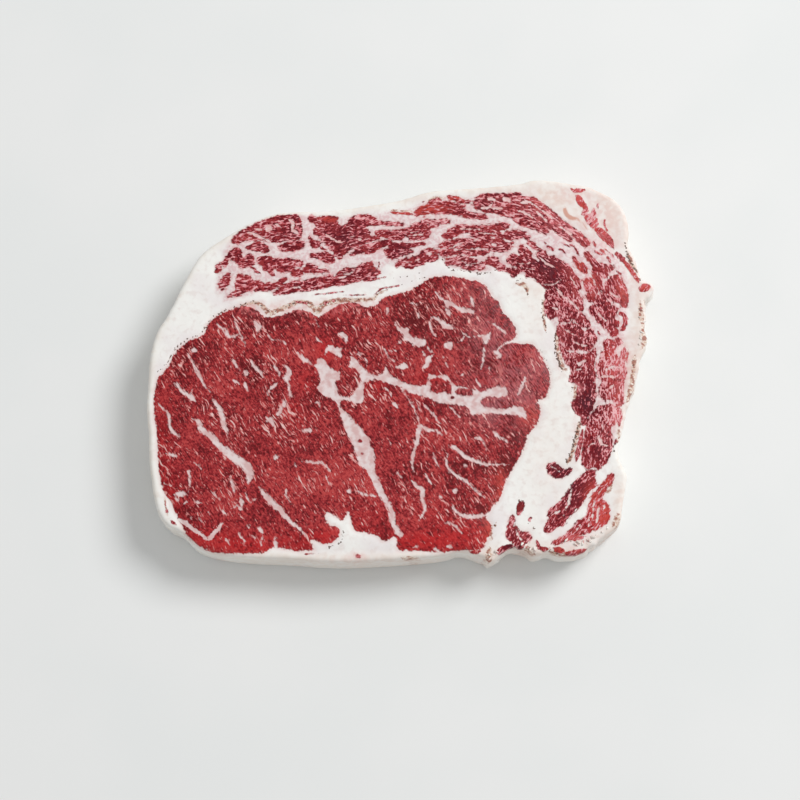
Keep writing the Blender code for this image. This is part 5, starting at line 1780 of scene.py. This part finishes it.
def build_shreds(material):
    """The torn shreds along the trimmed rim, as one mesh of small closed bits."""
    points, edges = [], []
    for path in SHRED_PATHS:
        line = smooth_open(path) - PLAN_MIDDLE
        edges += [(len(points) + k, len(points) + k + 1) for k in range(len(line) - 1)]
        points += [(x * MM, y * MM, (THICKNESS - SHRED_DROP) * MM) for x, y in line]
    data = bpy.data.meshes.new("shred_paths")
    data.from_pydata(points, edges, [])
    shreds = bpy.data.objects.new("torn_shreds", data)
    bpy.context.scene.collection.objects.link(shreds)

    tree = shred_tree(material)
    sizes = {
        "Spacing": SHRED_SPACING * MM, "Length": SHRED_LENGTH * MM, "Width": SHRED_WIDTH * MM,
        "Thickness": SHRED_THICKNESS * MM, "Scatter": SHRED_SCATTER * MM, "Seed": SHRED_SEED,
    }
    modifier = shreds.modifiers.new("shreds", "NODES")
    modifier.node_group = tree
    for item in tree.interface.items_tree:
        if item.name in sizes:
            modifier[item.identifier] = sizes[item.name]
    evaluated = shreds.evaluated_get(bpy.context.evaluated_depsgraph_get())
    result = bpy.data.meshes.new_from_object(evaluated)
    shreds.modifiers.remove(modifier)
    shreds.data = result
    return shreds


def shred_material(fat, lean):
    """Torn fat, cream and pink, with bits of lean in it."""
    material, shader, g, place = new_material("torn fat")
    patch = g.noise(place, 2.2, 31.0)
    fat_values = {"Place": place, "Outer": 0.9, "Beige": 0.5, "Pink": g.step(patch, 0.5, 0.62)}
    lean_values = {"Place": place, "Grain": place, "Cap": 0.5, "Amber": 0.5}
    fat_part = g.node("ShaderNodeGroup", fat_values, node_tree=fat).outputs
    lean_part = g.node("ShaderNodeGroup", lean_values, node_tree=lean).outputs
    share = g.step(patch, 0.58, 0.66, 0.0, 0.8)
    g.fill(shader, {
        "Base Color": g.mix(share, fat_part["Colour"], lean_part["Colour"]),
        "Roughness": g.step(patch, 0.3, 0.7, 0.3, 0.45),
        "Specular IOR Level": 0.4,
    })
    return material


def floor_material():
    """Pale glazed stoneware."""
    material, shader, g, place = new_material("pale glaze")
    cloud = g.noise(place, 60, 30.0, 2.0)
    g.fill(shader, {
        "Base Color": g.mix(g.step(cloud, 0.3, 0.7), FLOOR_PALE, FLOOR_COOL),
        "Roughness": g.step(cloud, 0.3, 0.7, 0.55, 0.65),
        "Specular IOR Level": 0.2,
    })
    return material


def add_floor():
    """A plain pale floor under the steak."""
    half = FLOOR_SIZE / 2
    corners = [(-half, -half, 0), (half, -half, 0), (half, half, 0), (-half, half, 0)]
    data = bpy.data.meshes.new("floor")
    data.from_pydata(corners, [], [(0, 1, 2, 3)])
    data.materials.append(floor_material())
    floor = bpy.data.objects.new("floor", data)
    bpy.context.scene.collection.objects.link(floor)


def add_light():
    """Soft light from the upper right, and an even pale sky."""
    world = bpy.data.worlds.new("studio")
    bpy.context.scene.world = world
    world.use_nodes = True
    sky = world.node_tree.nodes["Background"]
    sky.inputs["Color"].default_value = (1.0, 1.0, 1.0, 1.0)
    sky.inputs["Strength"].default_value = SKY_STRENGTH
    lamp = bpy.data.lights.new("softbox", "AREA")
    lamp.shape = "DISK"
    lamp.size = SOFTBOX_SIZE
    lamp.energy = SOFTBOX_POWER
    softbox = bpy.data.objects.new("softbox", lamp)
    softbox.location = SOFTBOX_PLACE
    softbox.rotation_euler = (-Vector(SOFTBOX_PLACE)).to_track_quat("-Z", "Y").to_euler()
    bpy.context.scene.collection.objects.link(softbox)


def add_camera():
    """The photograph's camera, nearly overhead, aimed at the middle of the plate."""
    data = bpy.data.cameras.new("camera")
    data.lens = data.sensor_width / 2 / math.tan(math.radians(VIEW_WIDTH) / 2)
    camera = bpy.data.objects.new("camera", data)
    target = Vector(VIEW_TARGET) * MM
    tilt = math.radians(VIEW_TILT)
    camera.location = target + Vector((0, -math.sin(tilt), math.cos(tilt))) * VIEW_DISTANCE * MM
    camera.rotation_euler = (tilt, 0, 0)
    bpy.context.scene.collection.objects.link(camera)
    bpy.context.scene.camera = camera


def main():
    bpy.context.scene.view_settings.view_transform = "Standard"
    fat, lean = fat_group(), lean_group()
    steak = build_slab()
    steak.data.materials.append(meat_material(fat, lean))
    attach(steak, "root")
    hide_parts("steak")
    shreds = build_shreds(shred_material(fat, lean))
    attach(shreds, "root")
    add_floor()
    add_light()
    add_camera()


main()
